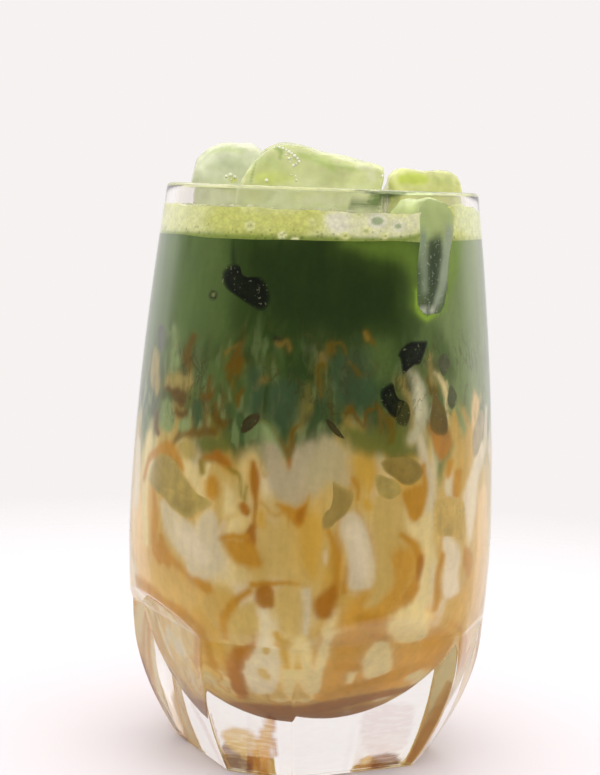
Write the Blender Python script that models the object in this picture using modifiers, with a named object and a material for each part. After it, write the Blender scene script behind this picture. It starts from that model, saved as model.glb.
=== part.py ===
"""Iced matcha latte in a clear tumbler with a faceted base.

Metres, +Z up. The origin is the centre of the flat base, and the front of the glass faces -Y.
Azimuths are in degrees from the front, positive towards +X.
"""

import math

import bmesh
import bpy
from mathutils import Matrix, Vector, noise

# Tumbler, outside
HEIGHT = 0.130
BELLY_RADIUS = 0.04205
BELLY_HEIGHT = 0.050
RIM_RADIUS = 0.03545
SHOULDER_POWER = 1.66
FOOT_DROP = 0.0036
FOOT_POWER = 1.5

# Tumbler, inside
WALL_AT_RIM = 0.0022
WALL_AT_BELLY = 0.0028
BASE_THICKNESS = 0.0135
LIP_ARC_POINTS = 4

# Faceted base: eight facets, wide and narrow by turns
FIRST_CORNER_AZIMUTH = -93.1
WIDE_FACET = 60.0
NARROW_FACET = 30.0
FOOT_CORNER_RADIUS = 0.0299
FACET_TOP_RADIUS = 0.0414
FACET_TOP_HEIGHT = 0.032
FACET_POWER = 1.95
SCOOP_HEIGHT = 0.008
SCOOP_FLARE = 0.0082
SCOOP_POWER = 1.2
FOOT_CHAMFER = 0.0006

# Drink
GAP = 0.0003
SYRUP_LEVEL = 0.0180
SYRUP_WAVE = 0.0012
MILK_LEVEL = 0.0770
MILK_FINGER = 0.0045
MATCHA_LEVEL = 0.1188
MATCHA_WAVE = 0.0004
MATCHA_TILT = 0.0006
FOAM_LEVEL = 0.1250
FOAM_SAG = 0.0012
FOAM_BUBBLE = 0.0006
FOAM_RISE = 0.0022
FOAM_RISE_AZIMUTH = 58.0
FOAM_RISE_WIDTH = 30.0

# Fineness of the turned and lofted shapes
AROUND = 40
WALL_STATIONS = 6
BOWL_STATIONS = 8
DISC_RINGS = 4
SIDE_ROWS = 5
ICE_DIVISIONS = 5

# Ice: centre, size, turn about X, Y and Z in degrees, squareness, and how far the top leans in at left and right
ICE = {
    "ice_left": ((-0.0207, 0.0098, 0.1272), (0.0206, 0.0150, 0.0245), (2, -3, 0), 3.4, (0.0020, 0.0025)),
    "ice_middle": ((-0.0034, -0.0078, 0.1283), (0.0318, 0.0165, 0.0215), (3, 7, 0), 8.0, (0.0070, 0.0)),
    "ice_right": ((0.0231, 0.0030, 0.1245), (0.0182, 0.0165, 0.0202), (-3, 2, 4), 5.0, (0.0, 0.0010)),
    "ice_wall": ((0.0212, -0.0225, 0.1150), (0.0102, 0.0110, 0.0258), (-6.3, 9, 43.3), 5.0, (-0.0014, -0.0010)),
}
WALL_ICE = "ice_wall"
ICE_DENT = 0.0006

COLLECTION = "iced_matcha_latte"


def clear_scene():
    for ob in list(bpy.data.objects):
        bpy.data.objects.remove(ob, do_unlink=True)


def new_collection(name):
    collection = bpy.data.collections.new(name)
    bpy.context.scene.collection.children.link(collection)
    return collection


def material(name, colour, roughness, transmission=0.0, ior=1.45):
    mat = bpy.data.materials.new(name)
    mat.use_nodes = True
    shader = mat.node_tree.nodes["Principled BSDF"]
    shader.inputs["Base Color"].default_value = (*colour, 1.0)
    shader.inputs["Roughness"].default_value = roughness
    shader.inputs["Metallic"].default_value = 0.0
    shader.inputs["Transmission Weight"].default_value = transmission
    shader.inputs["IOR"].default_value = ior
    mat.diffuse_color = (*colour, 1.0)
    return mat


def add_object(name, mesh, collection, mat=None):
    ob = bpy.data.objects.new(name, mesh)
    collection.objects.link(ob)
    if mat:
        mesh.materials.append(mat)
    return ob


def mesh_from(bm, name):
    bmesh.ops.recalc_face_normals(bm, faces=bm.faces)
    mesh = bpy.data.meshes.new(name)
    bm.to_mesh(mesh)
    bm.free()
    mesh.shade_smooth()
    mesh.set_sharp_from_angle(angle=math.radians(35))
    return mesh


def boolean(ob, cutter, operation):
    modifier = ob.modifiers.new(cutter.name, "BOOLEAN")
    modifier.object = cutter
    modifier.operation = operation
    modifier.solver = "EXACT"


def hide_cutter(ob):
    ob.hide_render = True
    ob.display_type = "WIRE"


def outer_radius(z):
    """Radius of the round body at height z."""
    if z >= BELLY_HEIGHT:
        t = (z - BELLY_HEIGHT) / (HEIGHT - BELLY_HEIGHT)
        return BELLY_RADIUS - (BELLY_RADIUS - RIM_RADIUS) * t**SHOULDER_POWER
    t = (BELLY_HEIGHT - z) / BELLY_HEIGHT
    return BELLY_RADIUS - FOOT_DROP * t**FOOT_POWER


def cavity_radius(z, gap=0.0):
    """Inner radius at height z: the wall above the belly, an elliptic bowl below it."""
    if z >= BELLY_HEIGHT:
        t = (z - BELLY_HEIGHT) / (HEIGHT - BELLY_HEIGHT)
        wall = WALL_AT_BELLY + (WALL_AT_RIM - WALL_AT_BELLY) * t
        return outer_radius(z) - wall - gap
    across = BELLY_RADIUS - WALL_AT_BELLY - gap
    deep = BELLY_HEIGHT - BASE_THICKNESS - gap
    t = min((BELLY_HEIGHT - z) / deep, 1.0)
    return across * math.sqrt(1.0 - t * t)


def facet_corner_radius(z):
    """Distance of the facets' corners from the axis: a barrel curve, then a scoop that flares out."""
    if z <= FACET_TOP_HEIGHT:
        t = (FACET_TOP_HEIGHT - z) / FACET_TOP_HEIGHT
        return FACET_TOP_RADIUS - (FACET_TOP_RADIUS - FOOT_CORNER_RADIUS) * t**FACET_POWER
    t = (z - FACET_TOP_HEIGHT) / SCOOP_HEIGHT
    return FACET_TOP_RADIUS + SCOOP_FLARE * t**SCOOP_POWER


def tumbler_profile():
    """Half section in XZ, from the bowl's centre up the inside, over the lip and down the outside."""
    deep = BELLY_HEIGHT - BASE_THICKNESS
    across = BELLY_RADIUS - WALL_AT_BELLY
    lip_radius = WALL_AT_RIM / 2
    lip_height = HEIGHT - lip_radius
    points = [(0.0, BASE_THICKNESS)]
    for i in range(1, BOWL_STATIONS):
        angle = math.pi / 2 * i / BOWL_STATIONS
        points.append((across * math.sin(angle), BELLY_HEIGHT - deep * math.cos(angle)))
    for i in range(WALL_STATIONS + 1):
        z = BELLY_HEIGHT + (lip_height - BELLY_HEIGHT) * i / WALL_STATIONS
        points.append((cavity_radius(z), z))
    lip_centre = (points[-1][0] + outer_radius(lip_height)) / 2
    for i in range(1, LIP_ARC_POINTS):
        angle = math.pi * i / LIP_ARC_POINTS
        points.append((lip_centre - lip_radius * math.cos(angle), lip_height + lip_radius * math.sin(angle)))
    for i in range(WALL_STATIONS + 1):
        z = lip_height + (BELLY_HEIGHT - lip_height) * i / WALL_STATIONS
        points.append((outer_radius(z), z))
    for i in range(1, 4):
        z = BELLY_HEIGHT * (1 - i / 3)
        points.append((outer_radius(z), z))
    points.append((0.0, 0.0))
    return points


def turned(name, points, collection, mat=None):
    """A profile turned round the Z axis."""
    mesh = bpy.data.meshes.new(name)
    edges = [(i, i + 1) for i in range(len(points) - 1)]
    mesh.from_pydata([(x, 0.0, z) for x, z in points], edges, [])
    ob = add_object(name, mesh, collection, mat)
    screw = ob.modifiers.new("turn", "SCREW")
    screw.steps = AROUND
    screw.render_steps = AROUND
    screw.use_merge_vertices = True
    screw.merge_threshold = 0.00001
    screw.use_smooth_shade = True
    return ob


def corner_azimuths():
    azimuths = [FIRST_CORNER_AZIMUTH]
    for step in (WIDE_FACET, NARROW_FACET) * 3 + (WIDE_FACET,):
        azimuths.append(azimuths[-1] + step)
    return [math.radians(a) for a in azimuths]


def facet_block(collection):
    """A tall block whose sides are the eight facets, to be intersected with the turned body."""
    clear = HEIGHT * 0.1
    heights = [0.0, FOOT_CHAMFER]
    heights += [FACET_TOP_HEIGHT * i / 8 for i in range(1, 9)]
    heights += [FACET_TOP_HEIGHT + SCOOP_HEIGHT * i / 5 for i in range(1, 7)]
    sections = [(z, facet_corner_radius(z)) for z in heights]
    sections[0] = (0.0, sections[0][1] - FOOT_CHAMFER)
    sections.append((HEIGHT + clear, BELLY_RADIUS + clear + SCOOP_FLARE))
    bm = bmesh.new()
    rings = []
    for z, radius in sections:
        ring = [bm.verts.new((radius * math.sin(a), -radius * math.cos(a), z)) for a in corner_azimuths()]
        rings.append(ring)
    for low, high in zip(rings, rings[1:]):
        for i in range(len(low)):
            j = (i + 1) % len(low)
            bm.faces.new((low[i], low[j], high[j], high[i]))
    bm.faces.new(rings[0][::-1])
    bm.faces.new(rings[-1])
    block = add_object("facet_block", mesh_from(bm, "facet_block"), collection)
    hide_cutter(block)
    return block


def smooth_bump(angle, width):
    """One at angle zero, falling to nothing at +-width degrees."""
    t = min(abs(angle) / width, 1.0)
    return (1 - t * t) ** 2


def ripple(share, azimuth, cells, seed):
    """Even noise in -1..1 over a disc, from a radius share and an azimuth."""
    spot = Vector((share * math.sin(azimuth) * cells, -share * math.cos(azimuth) * cells, seed))
    return noise.noise(spot)


def syrup_top(share, azimuth):
    return SYRUP_LEVEL + SYRUP_WAVE * ripple(share, azimuth, 2.0, 3.0)


def milk_top(share, azimuth):
    fingers = 0.6 * ripple(share, azimuth, 4.0, 11.0) + 0.4 * math.sin(7 * azimuth + 0.6) * share**2
    return MILK_LEVEL + MILK_FINGER * fingers


def matcha_top(share, azimuth):
    tilt = MATCHA_TILT * share * math.sin(azimuth)
    return MATCHA_LEVEL + tilt + MATCHA_WAVE * ripple(share, azimuth, 3.0, 5.0)


def foam_top(share, azimuth):
    away = (math.degrees(azimuth) - FOAM_RISE_AZIMUTH + 180) % 360 - 180
    rise = FOAM_RISE * smooth_bump(away, FOAM_RISE_WIDTH) * share**4
    sag = FOAM_SAG * (1 - share**2)
    return FOAM_LEVEL + rise - sag + FOAM_BUBBLE * ripple(share, azimuth, 7.0, 8.0)


def ring_at(share, level, lift=0.0):
    """Points round the axis on a surface, at a share of the wall's radius."""
    points = []
    for i in range(AROUND):
        azimuth = 2 * math.pi * i / AROUND
        z = level(share, azimuth) + lift
        radius = share * cavity_radius(level(1.0, azimuth) + lift, GAP)
        points.append((radius * math.sin(azimuth), -radius * math.cos(azimuth), z))
    return points


def side_ring(low, high, part):
    """Points on the wall, part of the way from the lower surface to the upper one."""
    points = []
    for i in range(AROUND):
        azimuth = 2 * math.pi * i / AROUND
        z = low(azimuth) + part * (high(azimuth) - low(azimuth))
        radius = cavity_radius(z, GAP)
        points.append((radius * math.sin(azimuth), -radius * math.cos(azimuth), z))
    return points


def bowl_rings(top):
    """The bowl's pole and the rings up to just under the surface top."""
    deep = BELLY_HEIGHT - BASE_THICKNESS - GAP
    floor = BELLY_HEIGHT - deep
    rings = [[(0.0, 0.0, floor)]]
    for i in range(1, 5):
        part = (i / 5) ** 2
        rings.append(side_ring(lambda a: floor, lambda a: top(1.0, a), part))
    return rings


def split_quad(ends, widening):
    """Two triangles, with the diagonal that the facing surface of the next layer has too."""
    a, b, c, d = ends
    if widening:
        return (a, b, d), (b, c, d)
    return (a, b, c), (a, c, d)


def layer(name, bottom, top, collection, mat, rows=SIDE_ROWS):
    """A layer of the drink, which fills the cavity from one surface to the next."""
    if bottom is None:
        rings = bowl_rings(top)
    else:
        rings = [[(0.0, 0.0, bottom(0.0, 0.0) + GAP)]]
        rings += [ring_at(i / DISC_RINGS, bottom, GAP) for i in range(1, DISC_RINGS + 1)]
        low = lambda a: bottom(1.0, a) + GAP
        high = lambda a: top(1.0, a)
        rings += [side_ring(low, high, i / rows) for i in range(1, rows)]
    rings += [ring_at(i / DISC_RINGS, top) for i in range(DISC_RINGS, 0, -1)]
    rings.append([(0.0, 0.0, top(0.0, 0.0))])
    bm = bmesh.new()
    rows_of_verts = [[bm.verts.new(p) for p in ring] for ring in rings]
    for low_row, high_row in zip(rows_of_verts, rows_of_verts[1:]):
        widening = low_row[0].co.xy.length < high_row[0].co.xy.length
        for i in range(AROUND):
            j = (i + 1) % AROUND
            ends = (low_row[i % len(low_row)], low_row[j % len(low_row)])
            ends += (high_row[j % len(high_row)], high_row[i % len(high_row)])
            for corners in split_quad(ends, widening):
                if len(set(corners)) == 3:
                    bm.faces.new(corners)
    return add_object(name, mesh_from(bm, name), collection, mat)


def ice_mesh(name, size, squareness, lean, seed, grow=0.0):
    """A rounded, slightly dented ice cube about its own centre, whose top may lean in at each side."""
    bm = bmesh.new()
    bmesh.ops.create_cube(bm, size=2.0)
    bmesh.ops.subdivide_edges(bm, edges=bm.edges, cuts=ICE_DIVISIONS - 1, use_grid_fill=True)
    for vert in bm.verts:
        spread = sum(abs(c) ** squareness for c in vert.co) ** (1 / squareness)
        unit = vert.co / spread
        dent = ICE_DENT * noise.noise(unit * 1.6 + Vector((seed, 0.0, 0.0)))
        towards_top = ((unit.z + 1) / 2) ** 3
        inward = (lean[0] * (1 - unit.x) - lean[1] * (1 + unit.x)) / 2 * towards_top
        vert.co = [unit[k] * (size[k] / 2 + grow + dent) for k in range(3)]
        vert.co.x += inward
    return mesh_from(bm, name)


def ice_place(centre, turn):
    rotation = Matrix.Rotation(math.radians(turn[2]), 4, "Z")
    rotation @= Matrix.Rotation(math.radians(turn[1]), 4, "Y")
    rotation @= Matrix.Rotation(math.radians(turn[0]), 4, "X")
    return Matrix.Translation(centre) @ rotation


def inside_core(cutters):
    """The tumbler's inside less the gap, which gives the cube that leans on the wall its curved face."""
    points = [(0.0, HEIGHT)]
    for i in range(WALL_STATIONS + 1):
        z = HEIGHT + (BELLY_HEIGHT - HEIGHT) * i / WALL_STATIONS
        points.append((cavity_radius(z, GAP), z))
    points.append((0.0, BELLY_HEIGHT))
    core = turned("inside_core", points, cutters)
    hide_cutter(core)
    return core


def add_ice(collection, cutters, mat):
    """The cubes, and a slightly larger copy of each that cuts the drink round it."""
    grown = []
    for seed, (name, (centre, size, turn, squareness, lean)) in enumerate(ICE.items()):
        cube = add_object(name, ice_mesh(name, size, squareness, lean, seed), collection, mat)
        cube.matrix_world = ice_place(centre, turn)
        if name == WALL_ICE:
            boolean(cube, inside_core(cutters), "INTERSECT")
        hollow = ice_mesh(name + "_room", size, squareness, lean, seed, GAP)
        room = add_object(name + "_room", hollow, cutters)
        room.matrix_world = ice_place(centre, turn)
        hide_cutter(room)
        grown.append(room)
    return grown


def build():
    clear_scene()
    parts = new_collection(COLLECTION)
    cutters = new_collection("cutters")
    clear_glass = material("clear_glass", (0.96, 0.97, 0.97), 0.02, 1.0, 1.5)
    clear_ice = material("clear_ice", (0.85, 0.90, 0.70), 0.08, 0.8, 1.31)
    brown_syrup = material("brown_syrup", (0.30, 0.13, 0.04), 0.35)
    marbled_milk = material("marbled_milk", (0.66, 0.47, 0.26), 0.40)
    green_matcha = material("green_matcha", (0.030, 0.085, 0.018), 0.40)
    pale_froth = material("pale_froth", (0.62, 0.68, 0.30), 0.55)

    glass = turned("glass", tumbler_profile(), parts, clear_glass)
    boolean(glass, facet_block(cutters), "INTERSECT")

    layer("syrup", None, syrup_top, parts, brown_syrup)
    layer("milk", syrup_top, milk_top, parts, marbled_milk, rows=9)
    matcha = layer("matcha", milk_top, matcha_top, parts, green_matcha)
    foam = layer("foam", matcha_top, foam_top, parts, pale_froth, rows=3)
    for room in add_ice(parts, cutters, clear_ice):
        boolean(matcha, room, "DIFFERENCE")
        boolean(foam, room, "DIFFERENCE")


build()
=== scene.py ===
"""Looks of the iced matcha latte: tumbler, marbled drink, froth and ice, in a pale studio.

Metres, +Z up, front towards -Y. Azimuths are in radians from the front, positive towards +X.
Marks on the drink are given where the photo shows them, in its pixels, and are then carried
through the glass to the place on the drink's side that is seen there.
"""

import math

import bpy
import bmesh
import numpy as np
from mathutils import Matrix, Vector, noise
from mathutils.bvhtree import BVHTree


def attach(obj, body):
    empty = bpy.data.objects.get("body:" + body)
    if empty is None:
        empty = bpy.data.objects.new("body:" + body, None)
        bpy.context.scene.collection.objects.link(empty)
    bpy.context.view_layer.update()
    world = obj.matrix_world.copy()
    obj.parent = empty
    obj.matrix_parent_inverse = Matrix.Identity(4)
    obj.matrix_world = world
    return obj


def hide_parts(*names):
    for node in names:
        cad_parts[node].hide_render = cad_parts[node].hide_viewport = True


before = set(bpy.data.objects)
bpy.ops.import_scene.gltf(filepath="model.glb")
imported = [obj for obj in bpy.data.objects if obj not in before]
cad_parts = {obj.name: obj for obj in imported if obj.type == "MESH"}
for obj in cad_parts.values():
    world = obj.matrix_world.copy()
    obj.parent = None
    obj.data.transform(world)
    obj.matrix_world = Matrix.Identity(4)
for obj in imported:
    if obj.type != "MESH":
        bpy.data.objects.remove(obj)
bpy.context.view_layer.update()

# Camera, from the rim, the outline and the foot in the photo
PHOTO_WIDTH = 600
PHOTO_HEIGHT = 775
LENS = 87.05
SENSOR = 36.0
EYE = Vector((0.0, -0.4314, 0.131))
PAN = 0.47
DROP = 6.25
ROLL = 2.13
PIXELS_PER_SLOPE = LENS / SENSOR * PHOTO_HEIGHT
# How wide one of the photo's pixels is at the front of the drink
PIXEL = 0.00021

# Marks that are read from the photo. Strokes: name, colour, softness in pixels, then x, y and width in
# pixels along the stroke. Fields: the same with an outline of x, y. Later ones lie over earlier ones.
STROKE = 3
FIELD = 2
# How much softer than stated the marks on the drink are, and the wide, faint rim that each has
SOFTER = 2.45
STRENGTH = 0.94
HALO = 0.40
HALO_WIDTH = 3.0
WIDEST_STRETCH = 2.5

# Tumbler
HEIGHT = 0.130
BELLY_RADIUS = 0.04205
BELLY_HEIGHT = 0.050
RIM_RADIUS = 0.03545
SHOULDER_POWER = 1.66
FOOT_DROP = 0.0036
FOOT_POWER = 1.5
WALL_AT_RIM = 0.0022
WALL_AT_BELLY = 0.0028
BASE_THICKNESS = 0.0135
FIRST_CORNER_AZIMUTH = -93.1
WIDE_FACET = 60.0
NARROW_FACET = 30.0
FOOT_CORNER_RADIUS = 0.0299
FACET_TOP_RADIUS = 0.0414
FACET_TOP_HEIGHT = 0.032
FACET_POWER = 1.95
SCOOP_HEIGHT = 0.008
SCOOP_FLARE = 0.0082
SCOOP_POWER = 1.2
FOOT_CHAMFER = 0.0006
EDGE_ROUNDING = 0.0005
GLASS_IOR = 1.5
# Columns round the tumbler for each facet, how much they crowd at its corners, and rows up its walls
WIDE_COLUMNS = 54
NARROW_COLUMNS = 30
CROWDING = 0.85
FACET_MARGIN = 0.5
FACET_ROWS = (0.0011, 0.0431, 0.0005)
BODY_START = 0.045
WALL_ROWS = 42
LIP_ROWS = 12

# Levels of the drink, and how uneven each is. Ripples: cells over half the width, and seed
SYRUP_LEVEL = 0.0180
SYRUP_WAVE = 0.0012
SYRUP_RIPPLE = (2.0, 3.0)
MILK_LEVEL = 0.0770
MILK_FINGER = 0.0045
MILK_RIPPLE = (4.0, 11.0)
MILK_FINGERS_ROUND = 7
MATCHA_LEVEL = 0.1188
MATCHA_WAVE = 0.0004
MATCHA_TILT = 0.0006
MATCHA_RIPPLE = (3.0, 5.0)
FOAM_LEVEL = 0.1250
FOAM_SAG = 0.0012
FOAM_BUBBLE = 0.0006
FOAM_RIPPLE = (7.0, 8.0)
FOAM_RISE = 0.0022
FOAM_RISE_AZIMUTH = 58.0
FOAM_RISE_WIDTH = 30.0
REACH = 0.00008

# Ice: centre, size, turn about X, Y and Z in degrees, squareness, and how far the top leans in
ICE = {
    "ice_left": ((-0.0207, 0.0098, 0.1272), (0.0206, 0.0150, 0.0245), (2, -3, 0), 3.4, (0.0020, 0.0025)),
    "ice_middle": ((-0.0034, -0.0078, 0.1283), (0.0318, 0.0165, 0.0215), (3, 7, 0), 8.0, (0.0070, 0.0)),
    "ice_right": ((0.0231, 0.0030, 0.1245), (0.0182, 0.0165, 0.0202), (-3, 2, 4), 5.0, (0.0, 0.0010)),
    "ice_wall": (
        (0.0212, -0.0225, 0.1150), (0.0102, 0.0110, 0.0258), (-6.3, 9, 43.3), 5.0, (-0.0014, -0.0010)),
}
WALL_ICE = "ice_wall"
WALL_ICE_GAIN = 1.12
# Wide dents and small ones in the cubes: how deep, and cells over half a cube
ICE_DENT = 0.0006
ICE_DENT_CELLS = 1.6
ICE_MELT = 0.00022
ICE_MELT_CELLS = 5.0
# How much the middle cube's top sinks towards the right
MIDDLE_DIP = 0.0013
ICE_DIVISIONS = 56
ROOM_DIVISIONS = 16
ROOM_GAP = 0.00025
ICE_IOR = 1.31
WATER_IOR = 1.33

# Columns round the drink
COLUMNS = 540

# Seed of the noise that the marbling and the clouds in the ice come from
NOISE_SEED = 4


def camera_matrix():
    turn = Matrix.Rotation(math.radians(PAN), 4, "Z")
    turn @= Matrix.Rotation(math.radians(90 - DROP), 4, "X")
    turn @= Matrix.Rotation(math.radians(ROLL), 4, "Z")
    return Matrix.Translation(EYE) @ turn


def add_camera():
    data = bpy.data.cameras.new("camera")
    data.lens = LENS
    data.clip_start = 0.01
    ob = bpy.data.objects.new("camera", data)
    bpy.context.scene.collection.objects.link(ob)
    ob.matrix_world = camera_matrix()
    bpy.context.scene.camera = ob


def add_mesh(name, verts, faces, smooth=True):
    mesh = bpy.data.meshes.new(name)
    mesh.from_pydata([tuple(v) for v in verts], [], faces)
    mesh.update()
    if smooth:
        mesh.shade_smooth()
    ob = bpy.data.objects.new(name, mesh)
    bpy.context.scene.collection.objects.link(ob)
    return ob


def shaped(bm, name):
    """The smooth object that a bmesh has been built up for."""
    mesh = bpy.data.meshes.new(name)
    bm.to_mesh(mesh)
    bm.free()
    mesh.shade_smooth()
    ob = bpy.data.objects.new(name, mesh)
    bpy.context.scene.collection.objects.link(ob)
    return ob


def coordinates(ob):
    points = np.empty(len(ob.data.vertices) * 3)
    ob.data.vertices.foreach_get("co", points)
    return points.reshape(-1, 3)


# Surfaces that the solids have too

def azimuth_of(points):
    return np.arctan2(points[:, 0], -points[:, 1])


def outer_radius(z):
    above = np.clip((z - BELLY_HEIGHT) / (HEIGHT - BELLY_HEIGHT), 0, None)
    below = np.clip((BELLY_HEIGHT - z) / BELLY_HEIGHT, 0, None)
    upper = BELLY_RADIUS - (BELLY_RADIUS - RIM_RADIUS) * above**SHOULDER_POWER
    return upper - FOOT_DROP * below**FOOT_POWER


def cavity_radius(z, reach=0.0):
    t = (z - BELLY_HEIGHT) / (HEIGHT - BELLY_HEIGHT)
    upper = outer_radius(z) - (WALL_AT_BELLY + (WALL_AT_RIM - WALL_AT_BELLY) * t) + reach
    across = BELLY_RADIUS - WALL_AT_BELLY + reach
    deep = BELLY_HEIGHT - BASE_THICKNESS + reach
    share = np.clip((BELLY_HEIGHT - z) / deep, 0, 1)
    return np.where(z >= BELLY_HEIGHT, upper, across * np.sqrt(1 - share**2))


ACROSS = BELLY_RADIUS - WALL_AT_BELLY
DEEP = BELLY_HEIGHT - BASE_THICKNESS


def wall_turn(z):
    """How far up the inner wall height z is: the angle from the bowl's pole, carried on above the belly."""
    bowl = np.arccos(np.clip((BELLY_HEIGHT - z) / (DEEP + REACH), -1, 1))
    return np.where(z < BELLY_HEIGHT, bowl, math.pi / 2 + (z - BELLY_HEIGHT) / ACROSS)


def way_up(points):
    """How far up the inner wall the points are, in metres."""
    return wall_turn(points[:, 2]) * ACROSS


def wall_height(turn):
    bowl = BELLY_HEIGHT - (DEEP + REACH) * np.cos(np.minimum(turn, math.pi / 2))
    return bowl + np.maximum(turn - math.pi / 2, 0) * ACROSS


def ripple(share, azimuth, cells, seed):
    """Even noise over a disc, from radius shares and azimuths."""
    x = share * np.sin(azimuth) * cells
    y = -share * np.cos(azimuth) * cells
    return np.array([noise.noise((a, b, seed)) for a, b in zip(x.ravel(), y.ravel())]).reshape(x.shape)


def syrup_top(share, azimuth):
    return SYRUP_LEVEL + SYRUP_WAVE * ripple(share, azimuth, *SYRUP_RIPPLE)


def milk_top(share, azimuth):
    waves = np.sin(MILK_FINGERS_ROUND * azimuth + 0.6) * share**2
    return MILK_LEVEL + MILK_FINGER * (0.6 * ripple(share, azimuth, *MILK_RIPPLE) + 0.4 * waves)


def matcha_top(share, azimuth):
    tilt = MATCHA_TILT * share * np.sin(azimuth)
    return MATCHA_LEVEL + tilt + MATCHA_WAVE * ripple(share, azimuth, *MATCHA_RIPPLE)


def foam_top(share, azimuth):
    away = (np.degrees(azimuth) - FOAM_RISE_AZIMUTH + 180) % 360 - 180
    bump = (1 - np.minimum(np.abs(away) / FOAM_RISE_WIDTH, 1) ** 2) ** 2
    level = FOAM_LEVEL + FOAM_RISE * bump * share**4 - FOAM_SAG * (1 - share**2)
    return level + FOAM_BUBBLE * ripple(share, azimuth, *FOAM_RIPPLE)


# Tumbler

def soft_min(a, b, width):
    near = np.maximum(width - np.abs(a - b), 0) / width
    return np.minimum(a, b) - near**2 * width / 4


def facet_spans():
    """Each facet's middle azimuth and half angle."""
    corner = FIRST_CORNER_AZIMUTH
    spans = []
    for step in (WIDE_FACET, NARROW_FACET) * 4:
        spans.append((math.radians(corner + step / 2), math.radians(step / 2)))
        corner += step
    return spans


def corner_radius(z):
    low = np.clip((FACET_TOP_HEIGHT - z) / FACET_TOP_HEIGHT, 0, 1)
    high = np.clip((z - FACET_TOP_HEIGHT) / SCOOP_HEIGHT, 0, None)
    narrowing = (FACET_TOP_RADIUS - FOOT_CORNER_RADIUS) * low**FACET_POWER
    return FACET_TOP_RADIUS - narrowing + SCOOP_FLARE * high**SCOOP_POWER


def outside(azimuth, z):
    """Radius of the tumbler's outside: the round body, cut by the facets, with softly rounded edges."""
    radius = outer_radius(z) + 0 * azimuth
    for middle, half in facet_spans():
        away = (azimuth - middle + math.pi) % (2 * math.pi) - math.pi
        facing = np.abs(away) < half + FACET_MARGIN
        flat = corner_radius(z) * math.cos(half) / np.cos(np.where(facing, away, 0))
        radius = np.where(facing, soft_min(radius, flat, EDGE_ROUNDING), radius)
    return radius


def facet_columns():
    """Azimuths round the tumbler, closer together near the facets' corners."""
    columns = []
    for middle, half in facet_spans():
        count = WIDE_COLUMNS if half > math.radians(NARROW_FACET) / 2 + 0.01 else NARROW_COLUMNS
        t = np.arange(count) / count
        columns.append(middle - half + 2 * half * (t - CROWDING * np.sin(2 * math.pi * t) / (2 * math.pi)))
    return np.concatenate(columns)


def tumbler_rings():
    """Radii and heights over all columns, from the underside up the outside and down the inside."""
    azimuth = facet_columns()
    lip_radius = WALL_AT_RIM / 2
    lip_height = HEIGHT - lip_radius
    rings = []
    foot = outside(azimuth, FOOT_CHAMFER)
    for share in (0.0, 0.3, 0.6, 0.85):
        rings.append((share * (foot - FOOT_CHAMFER), 0.0))
    for i in range(5):
        angle = math.pi / 2 * i / 4
        rings.append((foot - FOOT_CHAMFER * (1 - math.sin(angle)), FOOT_CHAMFER * (1 - math.cos(angle))))
    for z in np.arange(*FACET_ROWS):
        rings.append((outside(azimuth, z), z))
    for z in np.linspace(BODY_START, lip_height, WALL_ROWS):
        rings.append((outside(azimuth, z), z))
    inner = cavity_radius(np.array(lip_height))
    centre = (inner + outer_radius(lip_height)) / 2
    for i in range(1, LIP_ROWS):
        angle = math.pi * i / LIP_ROWS
        radius = centre + lip_radius * math.cos(angle) + 0 * azimuth
        rings.append((radius, lip_height + lip_radius * math.sin(angle)))
    for z in np.linspace(lip_height, BELLY_HEIGHT, WALL_ROWS):
        rings.append((cavity_radius(z) + 0 * azimuth, z))
    for turn in np.linspace(math.pi / 2, 0, WALL_ROWS)[1:]:
        rings.append((ACROSS * math.sin(turn) + 0 * azimuth, BELLY_HEIGHT - DEEP * math.cos(turn)))
    return azimuth, rings


def skin(azimuth, rings):
    """Vertices and faces of rings (radii, heights) over azimuths. The first and last ring are poles."""
    count = len(azimuth)
    sin, cos = np.sin(azimuth), np.cos(azimuth)
    verts = [(0.0, 0.0, float(np.mean(rings[0][1])))]
    for radii, heights in rings[1:-1]:
        z = heights + 0 * azimuth
        verts.extend(zip(radii * sin, -radii * cos, z))
    verts.append((0.0, 0.0, float(np.mean(rings[-1][1]))))
    last = len(verts) - 1
    faces = [(0, 1 + (i + 1) % count, 1 + i) for i in range(count)]
    for row in range(len(rings) - 3):
        low = 1 + row * count
        high = low + count
        faces += [(low + i, low + (i + 1) % count, high + (i + 1) % count, high + i) for i in range(count)]
    top = last - count
    faces += [(top + i, top + (i + 1) % count, last) for i in range(count)]
    return verts, faces


CLEAR = (0.965, 0.935, 0.925)
# How bright the clear base shows, which the marks' tints are worked out from
BASE_BRIGHTNESS = 0.85
GLASS_RADIUS = 0.036
GLASS_STRENGTH = 0.95
GLASS_WAVER = (500, 6.1, 0.0004)
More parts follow.
